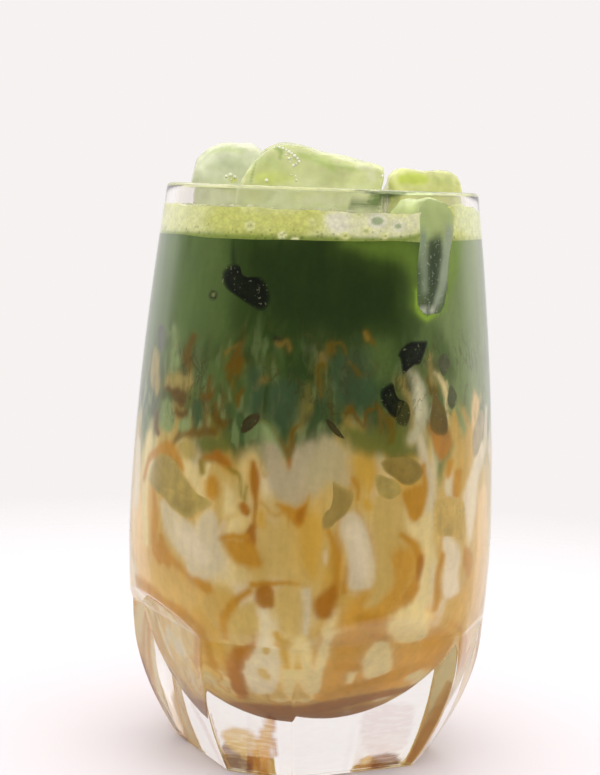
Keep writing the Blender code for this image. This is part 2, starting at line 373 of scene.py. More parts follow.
# Painted reflections: where the glass mirrors the drink, with the colours that it shows there
GLASS_REFLECTION_MARKS = (
    ("brown band, left", (166, 134, 116), 4, ((143, 662, 8), (151, 684, 14), (163, 706, 16), (176, 728, 16),
        (186, 738, 10))),
    ("gold stripe, left", (224, 196, 140), 3, ((174, 684, 6), (180, 704, 7), (190, 724, 7), (199, 742, 6))),
    ("grey left facet", (224, 214, 212), 4, ((192, 704, 10), (204, 726, 14), (214, 748, 14),
        (222, 764, 10))),
    ("brown patch", (142, 100, 44), 4, ((224, 742), (238, 741), (248, 752), (254, 771), (230, 771),
        (222, 756))),
    ("brown mist", (210, 182, 124), 7, ((222, 730), (244, 728), (258, 740), (258, 770), (246, 760),
        (226, 744))),
    ("gold streak", (202, 162, 62), 4, ((270, 718, 8), (266, 736, 16), (263, 752, 20), (262, 770, 20))),
    ("gold edge", (190, 140, 70), 2, ((274.5, 718, 2), (274.5, 736, 2), (276, 756, 2))),
    ("left corner line", (196, 160, 110), 1.5, ((211, 714, 1.5), (216, 734, 1.5), (224, 754, 2),
        (230, 769, 2))),
    ("grey right part", (226, 218, 217), 6, ((364, 712), (412, 704), (408, 740), (396, 752), (366, 752))),
    ("gold patch, right", (206, 172, 76), 3, ((358, 767), (362, 758), (374, 756), (378, 768))),
    ("brown patch, right", (150, 110, 46), 3, ((374, 756), (396, 754), (398, 768), (372, 769))),
    ("gold column, right", (206, 176, 116), 3, ((446, 682), (436, 700), (424, 726), (404, 764), (414, 766),
        (432, 738), (446, 706), (452, 686))),
    ("green lens", (96, 126, 62), 2.5, ((351, 190), (370, 187), (406, 189), (402, 196), (388, 199),
        (370, 194))),
    ("lower green lens", (100, 128, 70), 2.5, ((351, 202), (381, 200), (385, 205), (370, 209), (352, 206))),
)


def glass_with_painted_reflections(ob):
    """Colours of the tumbler's skin: clear, and tinted with painted reflections of the drink where the marks lie
    on its outside.
    """
    points = coordinates(ob)
    sight = Sight(ob)
    outside_skin = np.hypot(points[:, 0], points[:, 1]) > cavity_radius(points[:, 2]) + WALL_AT_RIM / 2
    cells, seed, size = GLASS_WAVER
    waver = noise_over(points, cells, seed)[:, :2] * size
    clear = np.tile(np.array(CLEAR), (len(points), 1))
    canvas = Canvas(azimuth_of(points), points[:, 2], waver, lambda way: GLASS_RADIUS)
    canvas.colour = clear.copy()
    for _, colour, soft, line in GLASS_REFLECTION_MARKS:
        line = rounded(line, closed=len(line[0]) == FIELD)
        hits = [(sight.tree.ray_cast(EYE, sight.ray(point[0], point[1]))[0], point) for point in line]
        hits = [(hit, point) for hit, point in hits if hit is not None]
        if len(hits) < 3:
            continue
        places = np.array([(math.atan2(hit.x, -hit.y), hit.z) for hit, _ in hits])
        reflection_tint = np.minimum(linear(colour) / BASE_BRIGHTNESS, 1) ** 2
        if len(line[0]) == STROKE:
            widths = np.array([point[2] for _, point in hits]) * PIXEL
            canvas.stroke(reflection_tint, soft * PIXEL, GLASS_STRENGTH, places, widths)
        else:
            canvas.field(reflection_tint, soft * PIXEL, GLASS_STRENGTH, places)
    return mix(clear, canvas.colour, outside_skin.astype(float))


def add_tumbler():
    ob = add_mesh("tumbler", *skin(*tumbler_rings()))
    write_colours(ob, glass_with_painted_reflections(ob), stirred=False)
    ob.data.materials.append(glass_material())
    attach(ob, "root")
    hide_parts("glass")
    return ob


# Layers of the drink

def layer_rings(bottom, top, side_rows, top_shares):
    """Rings of a layer that fills the cavity between two surfaces, and reaches just into the wall."""
    azimuth = np.linspace(0, 2 * math.pi, COLUMNS, endpoint=False)
    high = wall_turn(top(1.0, azimuth))
    rings = []
    if bottom is None:
        low = 0 * azimuth
        rings.append((0 * azimuth, wall_height(low)))
    else:
        low = wall_turn(bottom(1.0, azimuth))
        for share in (0.0, 0.3, 0.6, 0.8, 0.92):
            rings.append((share * cavity_radius(bottom(1.0, azimuth)), bottom(share, azimuth)))
    for part in np.linspace(0, 1, side_rows)[bottom is None:]:
        z = wall_height(low + part * (high - low))
        rings.append((cavity_radius(z, REACH), z))
    edge = cavity_radius(top(1.0, azimuth), REACH)
    for share in top_shares:
        rings.append((share * edge, top(share, azimuth)))
    return azimuth, rings


def cut_by(ob, cutters, operation="DIFFERENCE"):
    for cutter in cutters:
        modifier = ob.modifiers.new(cutter.name, "BOOLEAN")
        modifier.object = cutter
        modifier.operation = operation
        modifier.solver = "MANIFOLD"
    apply_modifiers(ob)


def apply_modifiers(ob):
    bpy.context.view_layer.update()
    done = bpy.data.meshes.new_from_object(ob.evaluated_get(bpy.context.evaluated_depsgraph_get()))
    ob.modifiers.clear()
    ob.data = done


# Where a place of the photo lies on the drink's side

def refract(direction, normal, ratio):
    cosine = -direction.dot(normal)
    rest = 1 - ratio * ratio * (1 - cosine * cosine)
    return (ratio * direction + (ratio * cosine - math.sqrt(rest)) * normal).normalized()


class Sight:
    """Looks from the camera through the tumbler."""

    def __init__(self, tumbler):
        self.tree = BVHTree.FromObject(tumbler, bpy.context.evaluated_depsgraph_get())
        self.turn = camera_matrix().to_3x3()

    def ray(self, x, y):
        slope = Vector((x - PHOTO_WIDTH / 2, PHOTO_HEIGHT / 2 - y, -PIXELS_PER_SLOPE))
        return (self.turn @ slope).normalized()

    def on_drink(self, x, y):
        """Azimuth and way up the wall, in metres, of the drink's side where it shows at pixel x, y."""
        direction = self.ray(x, y)
        hit, normal, _, _ = self.tree.ray_cast(EYE, direction)
        if hit is None:
            return None
        inside = refract(direction, normal, 1 / GLASS_IOR)
        hit, _, _, _ = self.tree.ray_cast(hit + inside * 1e-5, inside)
        if hit is None or math.hypot(hit.x, hit.y) < 1e-4:
            return None
        return math.atan2(hit.x, -hit.y), float(wall_turn(hit.z)) * ACROSS

    def stretch(self, x, y):
        """How much wider than at the front a pixel's width is on the drink's side there."""
        left, right = self.on_drink(x - 2, y), self.on_drink(x + 2, y)
        if left is None or right is None:
            return 1.0
        wide = abs(right[0] - left[0]) * ACROSS / 4
        return min(max(wide / PIXEL, 1.0), WIDEST_STRETCH)


# Colours as the photo shows them, red, green and blue out of 255

WHITE = (216, 202, 189)
MILK = (202, 189, 169)
GREY_MILK = (176, 162, 141)
CREAM = (214, 195, 151)
PALE_GREEN = (138, 154, 108)
SAND = (196, 168, 106)
TAN = (196, 162, 92)
GOLD = (194, 154, 70)
AMBER = (182, 132, 44)
RUST = (160, 104, 26)
BROWN = (150, 94, 32)
BOTTOM_BROWN = (152, 104, 56)
PINK_TAN = (222, 188, 138)
KHAKI = (168, 148, 88)
DARK_KHAKI = (126, 102, 44)
UMBER = (106, 78, 14)
OLD_GOLD = (138, 116, 34)
BARK = (106, 84, 14)
OLIVE = (100, 106, 48)
GREEN = (48, 68, 26)
TOP_GREEN = (38, 55, 19)
LEAF_GREEN = (86, 106, 56)
BLUE_GREEN = (60, 82, 56)
BLACK_ICE = (14, 18, 10)
OLIVE_ICE = (58, 58, 22)
GREY_ICE = (84, 86, 62)

MILK_MARKS = (
    ("grey field beside the fork", GREY_MILK, 4, ((262, 450), (276, 447), (286, 468), (292, 466),
        (298, 450), (318, 446), (318, 484), (307, 499), (295, 506), (280, 501), (272, 487))),
    ("grey field at the middle", (182, 168, 138), 5, ((316, 452), (326, 438), (342, 446), (352, 462),
        (350, 482), (343, 486), (331, 480), (322, 486), (313, 496), (306, 484))),
    ("yellow field", GOLD, 7, ((352, 458), (374, 458), (382, 474), (374, 492), (360, 486), (352, 474))),
    ("sand at the upper right", SAND, 6, ((384, 492), (404, 500), (412, 520), (412, 548), (392, 556),
        (376, 544), (368, 516), (372, 498))),
    ("gold field, left", TAN, 8, ((150, 556), (176, 566), (200, 584), (226, 588), (232, 604), (214, 622),
        (186, 604), (160, 592), (148, 576))),
    ("sand under the grey field", SAND, 7, ((262, 520), (284, 528), (302, 548), (300, 578), (262, 576),
        (248, 560))),
    ("amber under the triangle", GOLD, 6, ((302, 512), (322, 520), (320, 560), (312, 580), (300, 560),
        (298, 530))),
    ("golden ground, lower right", (190, 142, 60), 10, ((318, 644), (350, 612), (400, 598), (432, 610),
        (438, 650), (412, 682), (350, 696), (316, 698))),
    ("golden flow", (192, 144, 60), 6, ((322, 690, 22), (332, 660, 26), (344, 634, 26), (366, 612, 28),
        (392, 582, 30), (402, 562, 24))),
    ("golden right", AMBER, 6, ((424, 640), (438, 628), (454, 630), (452, 650), (440, 668), (424, 668))),
    ("golden drop", GOLD, 5, ((452, 592), (466, 590), (466, 630), (454, 634), (448, 612))),
    # The bands and streaks at the left and right edges, down to the gold beside the right edge, are partly the
    # milk's own tones and partly painted light: side light and the pale room mirrored in the glass, which make
    # the edges paler
    ("left tan band", PINK_TAN, 4, ((136, 500, 14), (138, 540, 16), (144, 575, 12))),
    ("left white edge", WHITE, 3, ((138, 446, 8), (137, 480, 9), (136, 500, 6))),
    ("left cream streaks", CREAM, 3, ((150, 440, 7), (146, 470, 6), (144, 500, 6), (146, 540, 5))),
    ("right tan band", PINK_TAN, 4, ((483, 500, 12), (482, 550, 14), (478, 600, 14), (470, 640, 10))),
    ("right white field", WHITE, 4, ((468, 478), (476, 492), (474, 516), (470, 540), (466, 520),
        (463, 496))),
    ("right white streak", WHITE, 3, ((480, 452, 9), (474, 480, 8), (471, 510, 8))),
    ("gold beside the right edge", TAN, 4, ((468, 440, 12), (464, 462, 14), (462, 486, 8))),
    ("cream finger", CREAM, 3, ((182, 448, 12), (188, 466, 13), (196, 480, 10), (201, 495, 4))),
    ("pale green patch", KHAKI, 4, ((178, 442), (192, 441), (196, 458), (184, 458))),
    ("cream half round", SAND, 3, ((212, 468), (229, 476), (239, 489), (240, 508), (236, 518), (222, 516),
        (216, 500), (210, 484))),
    ("cream core", CREAM, 5, ((224, 484), (236, 494), (236, 512), (226, 512))),
    ("khaki arc", OLD_GOLD, 2.5, ((228, 467, 3), (240, 478, 3), (242, 498, 2))),
    ("amber beside the half round", AMBER, 4, ((206, 480), (216, 478), (218, 496), (208, 500))),
    ("brown patch", RUST, 3, ((219, 449), (226, 456), (231, 466), (224, 465), (214, 462), (204, 458),
        (211, 454))),
    ("white slip", CREAM, 2, ((209, 466, 4), (205, 478, 4))),
    ("olive slip", OLD_GOLD, 2.5, ((202, 462, 5), (203, 473, 4))),
    ("long drip", RUST, 2, ((254, 463, 4), (256, 480, 10), (255.5, 498, 4.5), (255, 528, 4))),
    ("drip's bulb", BROWN, 2, ((252, 527, 6), (250, 539, 13), (252, 548, 5))),
    ("shade beside the drip", GOLD, 4, ((262, 514, 9), (262, 524, 9))),
    ("brown spot", RUST, 2, ((244, 507, 10), (245, 510, 10))),
    ("thread over the spot", OLD_GOLD, 1.5, ((247, 486, 2), (245, 500, 2.5))),
    ("amber field left of the bulb", AMBER, 4, ((224, 540), (246, 541), (258, 552), (262, 566), (244, 566),
        (230, 556))),
    ("amber ledge", AMBER, 2.5, ((220, 541, 4), (228, 537, 5), (246, 537, 5))),
    ("triangle", AMBER, 2.5, ((278, 505), (295, 508), (305, 502), (309, 495), (307, 513), (299, 527),
        (291, 522), (284, 513))),
    ("triangle's point", RUST, 3, ((296, 511), (305, 506), (301, 521), (295, 520))),
    ("left arch", AMBER, 2.5, ((144, 478, 3), (148, 464, 3), (153, 456, 4), (162, 449, 7), (172, 448, 9),
        (177, 456, 7), (182, 468, 3))),
    ("left amber line", AMBER, 2.5, ((154, 490, 3), (155, 515, 5), (155, 549, 6), (160, 560, 6))),
    ("left amber spot", AMBER, 3, ((162, 538, 6), (163, 552, 10), (168, 562, 7))),
    ("amber slope", AMBER, 4, ((160, 548, 5), (174, 562, 6), (188, 575, 6), (204, 586, 8))),
    ("white blob", MILK, 3.5, ((160, 503), (165, 501), (174, 511), (182, 518), (191, 524), (195, 526),
        (200, 518), (212, 511), (218, 519), (220, 538), (223, 552), (224, 562), (218, 574), (205, 579),
        (193, 574), (182, 556), (171, 542), (164, 526))),
    ("white blob's core", WHITE, 6, ((178, 526), (190, 532), (206, 546), (210, 560), (202, 564), (188, 552),
        (178, 536))),
    ("amber under the blob", AMBER, 3.5, ((200, 583, 8), (208, 588, 10))),
    ("ledge over the ring", AMBER, 2.5, ((253, 584, 6), (272, 583, 6), (296, 585, 5))),
    ("amber ring", RUST, 2.5, ((266, 593, 19), (266, 600, 18))),
    ("left amber shore", AMBER, 4, ((140, 590, 5), (166, 604, 8), (192, 618, 9), (206, 640, 8),
        (214, 664, 9))),
    ("golden shore", GOLD, 4, ((196, 612, 8), (212, 632, 8), (220, 652, 10), (226, 668, 8))),
    ("hook", AMBER, 3, ((250, 590, 6), (234, 603, 8), (224, 616, 8), (224, 632, 6))),
    ("inside of the hook", SAND, 4, ((240, 608), (256, 602), (258, 624), (250, 640), (234, 640),
        (230, 624))),
    ("brown swirl", (176, 122, 52), 3.5, ((233, 648), (248, 644), (258, 634), (257, 650), (246, 666),
        (243, 684), (248, 697), (238, 697), (231, 680), (226, 662))),
    ("swirl's core", RUST, 4, ((240, 652, 6), (238, 672, 9), (240, 690, 9))),
    ("cream beside the ring", SAND, 4, ((280, 590), (300, 588), (310, 604), (308, 634), (284, 634),
        (278, 612))),
    ("white line", MILK, 3, ((304, 592, 7), (307, 612, 7), (306, 634, 5))),
    ("white drop", (218, 204, 180), 3, ((262, 611), (270, 615), (272, 630), (277, 650), (280, 667),
        (276, 688), (266, 694), (254, 692), (247, 683), (244, 670), (252, 655), (260, 636))),
    ("spots on the drop", SAND, 2, ((265, 648, 6), (266, 652, 6))),
    ("lower spot on the drop", SAND, 2.5, ((262, 672, 8), (265, 676, 8))),
    ("cream block", (218, 198, 150), 3.5, ((282, 662), (294, 640), (308, 640), (312, 664), (311, 698),
        (294, 700), (284, 690))),
    ("golden gap", GOLD, 3, ((278, 634, 6), (284, 652, 6), (286, 668, 5))),
    ("cream slip", CREAM, 3.5, ((334, 612, 8), (328, 640, 9), (320, 666, 9), (314, 690, 8))),
    ("short cream slips", CREAM, 2.5, ((352, 672, 6), (348, 682, 5))),
    ("dark line", AMBER, 2.5, ((353, 480, 4), (357, 490, 4), (356, 500, 3))),
    ("amber hook, middle", AMBER, 2, ((357, 512, 4), (362, 524, 7), (369, 532, 3), (372, 549, 2.5),
        (377, 562, 2))),
    ("yellow spot", GOLD, 3, ((367, 502, 9), (369, 506, 8))),
    ("amber line", AMBER, 2.5, ((328, 531, 4), (336, 549, 7), (336, 573, 7), (333, 598, 9))),
    ("short amber line", AMBER, 2.5, ((347, 568, 4), (345, 592, 7))),
    ("rust corner", RUST, 4, ((322, 592), (334, 586), (336, 604), (331, 617), (319, 616), (314, 602))),
    ("white column", MILK, 3, ((343, 518), (354, 512), (366, 525), (371, 544), (376, 560), (377, 574),
        (368, 587), (351, 588), (349, 562), (341, 534))),
    ("white column's core", WHITE, 5, ((348, 526), (358, 524), (366, 546), (366, 574), (356, 578),
        (352, 552))),
    ("cream beside the column", SAND, 4, ((378, 560), (386, 556), (392, 580), (380, 600), (366, 606),
        (372, 588))),
    ("left white streak, upper right", MILK, 3, ((421, 440, 7), (426, 464, 8), (432, 482, 8), (429, 510, 9),
        (426, 532, 7))),
    ("pale field", CREAM, 4, ((406, 500), (420, 516), (430, 512), (430, 540), (414, 540), (406, 524))),
    ("white oval", MILK, 2, ((449, 474, 6), (449, 482, 9), (449, 490, 6))),
    ("amber spot, right", AMBER, 2.5, ((450, 463, 6), (448, 472, 6))),
    ("amber slip, right", AMBER, 3, ((458, 474, 6), (457, 494, 6))),
    ("orange rim", AMBER, 2.5, ((423, 466, 4), (425, 486, 5), (421, 508, 7), (414, 517, 7), (409, 506, 5),
        (405, 494, 4))),
    ("amber wedge", AMBER, 3, ((404, 492), (424, 486), (421, 508), (415, 519), (410, 514))),
    ("amber hook, right", AMBER, 2.5, ((402, 536, 3), (411, 543, 6), (417, 555, 8), (420, 566, 10),
        (417, 578, 9), (408, 596, 9))),
    ("hook's core", RUST, 2.5, ((420, 559, 7), (420, 570, 9), (418, 577, 6))),
    ("white column, right", WHITE, 3, ((443, 539), (453, 540), (460, 555), (458, 573), (458, 591),
        (448, 597), (442, 590), (444, 566))),
    ("amber beside it", AMBER, 2.5, ((442, 555, 4), (438, 580, 5), (436, 609, 5))),
    ("cream between", CREAM, 3, ((430, 560, 8), (424, 590, 14), (420, 606, 16))),
    ("amber spot, far right", AMBER, 3, ((466, 551, 5), (468, 561, 9), (468, 574, 4))),
    ("amber stroke", AMBER, 3, ((414, 588, 9), (404, 600, 9), (395, 614, 8), (380, 618, 8), (362, 618, 8))),
    ("cream layers", (218, 198, 148), 4, ((396, 612), (420, 602), (428, 618), (424, 638), (400, 642),
        (388, 630))),
    ("amber tongue", AMBER, 3, ((372, 636, 6), (386, 638, 6))),
    ("cream patch", CREAM, 3.5, ((372, 644), (388, 642), (392, 654), (388, 672), (368, 678), (362, 664))),
    ("rust patch", AMBER, 3.5, ((342, 668, 9), (354, 668, 9))),
    ("cream by the brown", CREAM, 4, ((408, 668), (420, 666), (420, 678), (407, 680))),
)

BAND_MARKS = (
    ("brown bottom", BOTTOM_BROWN, 4, ((212, 704, 8), (250, 708, 10), (293, 712, 12), (330, 706, 12),
        (377, 696, 9), (410, 688, 6), (436, 674, 3))),
    ("amber above the brown", AMBER, 4, ((340, 690, 4), (372, 682, 7), (404, 672, 9), (430, 660, 8))),
)

TEA_MARKS = (
    ("dark heart", TOP_GREEN, 18, ((252, 240), (410, 240), (404, 300), (370, 330), (300, 330), (262, 312))),
    # Painted light: the paler fields at the left and right are side light and the pale room mirrored in the
    # glass near its edges
    ("painted side light, inner left", LEAF_GREEN, 14, ((196, 242), (226, 242), (226, 330), (196, 330))),
    ("painted side light, left", (92, 114, 62), 18, ((150, 245), (192, 245), (198, 330), (150, 330))),
    ("painted side light, right", (126, 142, 96), 18, ((446, 240), (486, 240), (488, 404), (448, 400), (434, 330))),
    ("green halo over the tea", (98, 122, 48), 9, ((346, 244, 4), (380, 248, 12), (404, 252, 18),
        (415, 272, 14), (416, 300, 9))),
    ("green halo, right", (122, 146, 64), 7, ((456, 240, 14), (452, 270, 10), (443, 304, 7))),
    ("bright rim under the ice", (146, 178, 62), 2.5, ((415, 290, 3), (418, 309, 4), (428, 318, 4),
        (438, 310, 4), (442, 292, 3))),
    ("blue green area", BLUE_GREEN, 8, ((336, 356), (372, 350), (378, 384), (372, 408), (344, 408),
        (334, 382))),
    ("blue green streak", BLUE_GREEN, 5, ((258, 372, 12), (257, 412, 14))),
    ("blue green field", BLUE_GREEN, 6, ((272, 388), (290, 386), (300, 410), (292, 426), (276, 424))),
    ("leaf field, right", LEAF_GREEN, 8, ((424, 332), (440, 330), (452, 360), (446, 388), (430, 384),
        (426, 362))),
    ("leaf patch", LEAF_GREEN, 3, ((419, 366), (428, 364), (432, 380), (426, 388), (419, 378))),
    ("leaf field, middle", LEAF_GREEN, 8, ((372, 344), (392, 342), (394, 372), (380, 380), (372, 366))),
    ("pale slip, left", PALE_GREEN, 4, ((174, 334, 8), (175, 356, 10), (173, 374, 5))),
    ("pale blob, left", PALE_GREEN, 3.5, ((160, 402), (170, 404), (174, 420), (166, 432), (158, 420))),
    ("green blob, left", PALE_GREEN, 3, ((180, 416), (188, 414), (191, 428), (184, 434), (178, 428))),
    ("green lump", LEAF_GREEN, 3, ((200, 378), (208, 380), (206, 396), (198, 398), (194, 390))),
    ("green mound", LEAF_GREEN, 4, ((198, 366), (210, 360), (222, 370), (226, 392), (218, 386),
        (208, 374))),
    ("olive slip, left", BARK, 3, ((194, 340, 6), (188, 356, 7), (190, 372, 5))),
    ("tan streak, left edge", KHAKI, 2.5, ((155, 352, 5), (155, 386, 6))),
    ("khaki patch, left", KHAKI, 4, ((168, 378), (190, 374), (194, 384), (182, 390), (168, 390))),
    ("brown one", UMBER, 2.5, ((166, 390), (176, 390), (187, 389), (185, 398), (180, 403), (172, 399))),
    ("brown two", UMBER, 3, ((202, 396), (208, 391), (216, 390), (213, 398), (205, 401))),
    ("brown two's thread", UMBER, 1.5, ((213, 374, 2), (212, 384, 3), (209, 394, 3))),
    ("brown three", UMBER, 3, ((226, 364), (236, 358), (244, 362), (240, 370), (230, 371))),
    ("brown three's stem", UMBER, 3, ((240, 346, 4), (236, 358, 5))),
    ("gold under three", BARK, 2.5, ((231, 372, 4), (240, 369, 3))),
    ("brown four", UMBER, 3, ((177, 411, 5), (187, 411, 5))),
    ("brown five", UMBER, 3.5, ((218, 406, 4), (217, 418, 8), (224, 422, 6))),
    ("brown six", UMBER, 3, ((193, 432), (204, 427), (216, 426), (216, 433), (204, 436), (194, 436))),
    ("brown six, left", UMBER, 3, ((177, 438, 4), (192, 434, 5))),
    ("stem under six", BARK, 3.5, ((180, 432, 4), (174, 444, 5), (170, 452, 4))),
    ("olive under six", OLIVE, 4, ((200, 440), (216, 436), (226, 438), (222, 450), (206, 452))),
    ("dark arrow", UMBER, 2, ((243, 390, 2), (239, 399, 5), (240, 408, 2))),
    ("thread by three", BARK, 1.5, ((229, 376, 2), (232, 388, 2.5))),
    ("pale crack, left", DARK_KHAKI, 1.5, ((226, 350, 3), (230, 346, 2.5), (236, 346, 1.5))),
    ("dark blob, edge", UMBER, 2, ((156, 412, 2), (156, 426, 4), (158, 432, 3))),
    ("gold cracks", DARK_KHAKI, 1.6, ((276, 342, 4), (281, 346, 3), (284, 343, 2), (289, 352, 3))),
    ("dark over the cracks", BLACK_ICE, 2, ((274, 338, 3), (278, 341, 2))),
    ("pale spot", DARK_KHAKI, 2.5, ((265, 377, 4), (267, 380, 4))),
    ("dark line", TOP_GREEN, 2, ((269, 388, 2), (268, 420, 3))),
    ("gold stem", BARK, 3, ((330, 350, 4), (322, 360, 5), (320, 380, 5), (321, 398, 4))),
    ("gold arch", BARK, 2, ((326, 350, 3), (333, 342, 2.5), (340, 344, 2), (345, 354, 2))),
    ("pale stem", DARK_KHAKI, 1.5, ((320, 356, 3), (321, 364, 2))),
    ("gold slip", BARK, 2, ((366, 332, 3), (369, 341, 4), (374, 346, 2))),
    ("pale slip in it", DARK_KHAKI, 1.2, ((365, 332, 1.5), (367, 340, 2))),
    ("gold line, middle", BARK, 1.5, ((348, 362, 2), (354, 366, 2.5), (358, 374, 2))),
    ("dark edge of the fork", OLIVE, 1.5, ((262, 424, 2), (268, 424, 2.5), (276, 434, 3), (282, 448, 3),
        (287, 463, 3))),
    ("pale left of the fork", PALE_GREEN, 4, ((264, 426), (272, 432), (278, 446), (280, 456), (268, 452),
        (262, 440))),
    ("gold in the fork", BARK, 2, ((281, 438), (288, 448), (294, 434), (295, 452), (292, 464), (287, 462))),
    ("brown tip", RUST, 2, ((290, 462, 6), (290, 470, 6), (290, 480, 2))),
    ("fork's right edge", UMBER, 1.8, ((298, 424, 3), (294, 434, 3), (296, 450, 3))),
    ("olive shore", OLIVE, 6, ((350, 430), (380, 432), (420, 436), (424, 452), (390, 454), (360, 456),
        (348, 444))),
    ("beige bump", BARK, 2.5, ((351, 407, 7), (354, 410, 6))),
    ("zigzag", UMBER, 1.6, ((347, 415, 2.5), (352, 410, 3.5), (358, 413, 3), (365, 425, 3.5), (370, 414, 3),
        (377, 409, 3))),
    ("gold strands", BARK, 2.5, ((378, 406, 4), (384, 414, 4), (390, 428, 5), (389, 440, 3))),
    ("gold strand, thin", BARK, 1.5, ((382, 412, 2), (381, 434, 2))),
    ("olive slip, right", OLIVE, 3, ((398, 424, 4), (396, 438, 5))),
    ("halo of the milk stream", KHAKI, 4, ((400, 380, 4), (406, 398, 6), (414, 420, 8), (412, 440, 10))),
    ("milk stream", (186, 180, 158), 3.5, ((409, 370, 6), (415, 380, 10), (420, 396, 15), (422, 412, 16),
        (418, 428, 12), (412, 438, 8))),
    ("milk stream's core", (206, 200, 182), 4, ((416, 386, 4), (421, 402, 8), (421, 414, 8))),
    ("tan thread, right", KHAKI, 2.5, ((433, 356, 4), (434, 384, 5))),
    ("gold left of the tongue", BARK, 3, ((430, 380, 4), (436, 392, 4))),
    ("pale threads", CREAM, 1.6, ((438, 374, 3), (444, 386, 4), (446, 400, 3), (450, 420, 3))),
    ("amber tip of the tongue", (174, 120, 50), 2.5, ((430, 426), (448, 426), (451, 440), (447, 453),
        (441, 459), (435, 448))),
    ("gold beside the tongue", TAN, 4, ((452, 412), (464, 408), (470, 430), (468, 446), (456, 446),
        (450, 430))),
    ("green thread, right", PALE_GREEN, 2.5, ((458, 408, 3), (463, 424, 4), (464, 440, 4))),
    # At the right edge these are partly the milk's own tones and partly painted light: side light and the pale
    # room mirrored in the glass
    ("tan at the right edge", PINK_TAN, 3, ((477, 400, 6), (474, 424, 6), (470, 446, 6))),
    ("white at the right edge", MILK, 3, ((486, 410, 4), (485, 440, 6), (480, 456, 8))),
    ("tea thread", TOP_GREEN, 2, ((233, 240, 2), (234, 264, 3))),
    ("small bubble's rim", (34, 40, 20), 0.8, ((213, 295, 6), (214, 295, 6), (215, 295, 6))),
    ("small bubble", (124, 130, 82), 0.6, ((213.4, 294.6, 3), (214, 294.6, 3), (214.6, 294.6, 3))),
)

# The green round the ice at the wall, which the back has no ice for
ICE_GLOW = ("green halo over the tea", "green halo, right", "bright rim under the ice")

ICE_MARKS = (
    ("dark_left", BLACK_ICE, ((221, 273), (228, 264), (239, 264), (244, 275), (262, 277), (271, 293),
        (270, 306), (262, 312), (247, 304), (235, 296), (224, 287))),
    ("dark_right", BLACK_ICE, ((409, 341), (419, 340), (428, 340), (427, 348), (421, 364), (414, 366),
        (404, 375), (401, 371), (399, 359), (397, 355), (401, 348))),
    ("dark_low", BLACK_ICE, ((388, 383), (393, 382), (396, 393), (400, 399), (406, 402), (403, 412),
        (398, 420), (392, 418), (387, 412), (381, 403), (380, 390))),
    ("olive_low", OLIVE_ICE, ((398, 399), (407, 401), (411, 412), (408, 424), (403, 427), (395, 421),
        (396, 408))),
    ("grey_high", GREY_ICE, ((444, 352), (450, 361), (447, 372), (443, 377), (439, 370), (437, 360))),
    ("grey_mid", GREY_ICE, ((451, 384), (457, 394), (455, 406), (451, 410), (447, 402), (448, 390))),
    ("edge_left", (84, 88, 76), ((158, 326), (165, 324), (166, 338), (163, 352), (159, 350), (157, 338))),
    ("tilted_ellipse", (66, 56, 32), ((240, 431), (243, 420), (252, 413), (261, 413), (260, 421),
        (250, 431), (243, 434))),
    ("slash", (56, 50, 26), ((325, 418), (332, 421), (342, 434), (345, 439), (338, 437), (329, 428))),
    ("tongue", (104, 86, 38), ((433, 389), (439, 398), (445, 408), (448, 424), (447, 436), (436, 436),
        (430, 430), (429, 418), (431, 406))),
    ("pink_slash", (172, 156, 132), ((481, 408), (484, 420), (481, 444), (475, 459), (472, 450),
        (473, 430))),
    ("khaki_left", KHAKI, ((161, 451), (173, 456), (182, 470), (190, 482), (200, 494), (213, 501),
        (215, 507), (203, 514), (191, 520), (183, 518), (171, 509), (164, 499), (154, 491), (148, 480),
        (149, 468), (154, 457))),
    ("khaki_top", (136, 116, 62), ((380, 461), (390, 457), (408, 456), (419, 462), (424, 471), (421, 479),
        (412, 486), (402, 485), (393, 478), (385, 473), (381, 467))),
    ("khaki_under", KHAKI, ((375, 474), (389, 477), (399, 483), (401, 493), (391, 500), (380, 496),
        (375, 486))),
    ("khaki_mid", (156, 134, 78), ((333, 480), (342, 485), (354, 491), (353, 503), (346, 515), (336, 523),
        (329, 530), (322, 530), (321, 521), (325, 512), (330, 508), (333, 495))),
    ("khaki_right", SAND, ((435, 498), (462, 498), (465, 519), (463, 540), (454, 537), (438, 536),
        (433, 519))),
)


WALL_ICE_LOW = (92, 112, 66)
WALL_ICE_HIGH = (194, 210, 144)
WALL_ICE_RISE = (0.112, 0.122)
WALL_ICE_CLOUD = (300, 4.4)
WALL_ICE_WAVER = 0.0002
WALL_ICE_MARKS = (
    ("pale top", (188, 208, 134), 6, ((414, 190), (460, 190), (460, 236), (414, 236))),
    ("dark core", (46, 68, 26), 4, ((429, 240), (442, 238), (441, 268), (436, 298), (430, 303), (427, 288),
        (427, 256))),
    ("frosted left strip", (146, 164, 134), 2.5, ((423, 234, 6), (423.5, 262, 6), (425, 292, 4))),
    ("frosted right strip", (166, 180, 152), 2.5, ((449, 230, 6), (446, 262, 7), (441, 290, 6),
        (436, 303, 4))),
    ("left glint", (226, 232, 212), 1.2, ((420, 309, 2), (423, 312, 2.5), (425, 311, 2))),
    ("right glint", (226, 232, 212), 1.2, ((429, 308, 2), (432, 310, 2.5), (434, 307, 2))),
)


def linear(colour):
    """A colour out of 255 as the photo stores it, in linear numbers."""
    share = np.array(colour) / 255
    return np.where(share <= 0.04045, share / 12.92, ((share + 0.055) / 1.055) ** 2.4)


def soft_step(low, high, x):
    t = np.clip((x - low) / (high - low), 0, 1)
    return t * t * (3 - 2 * t)


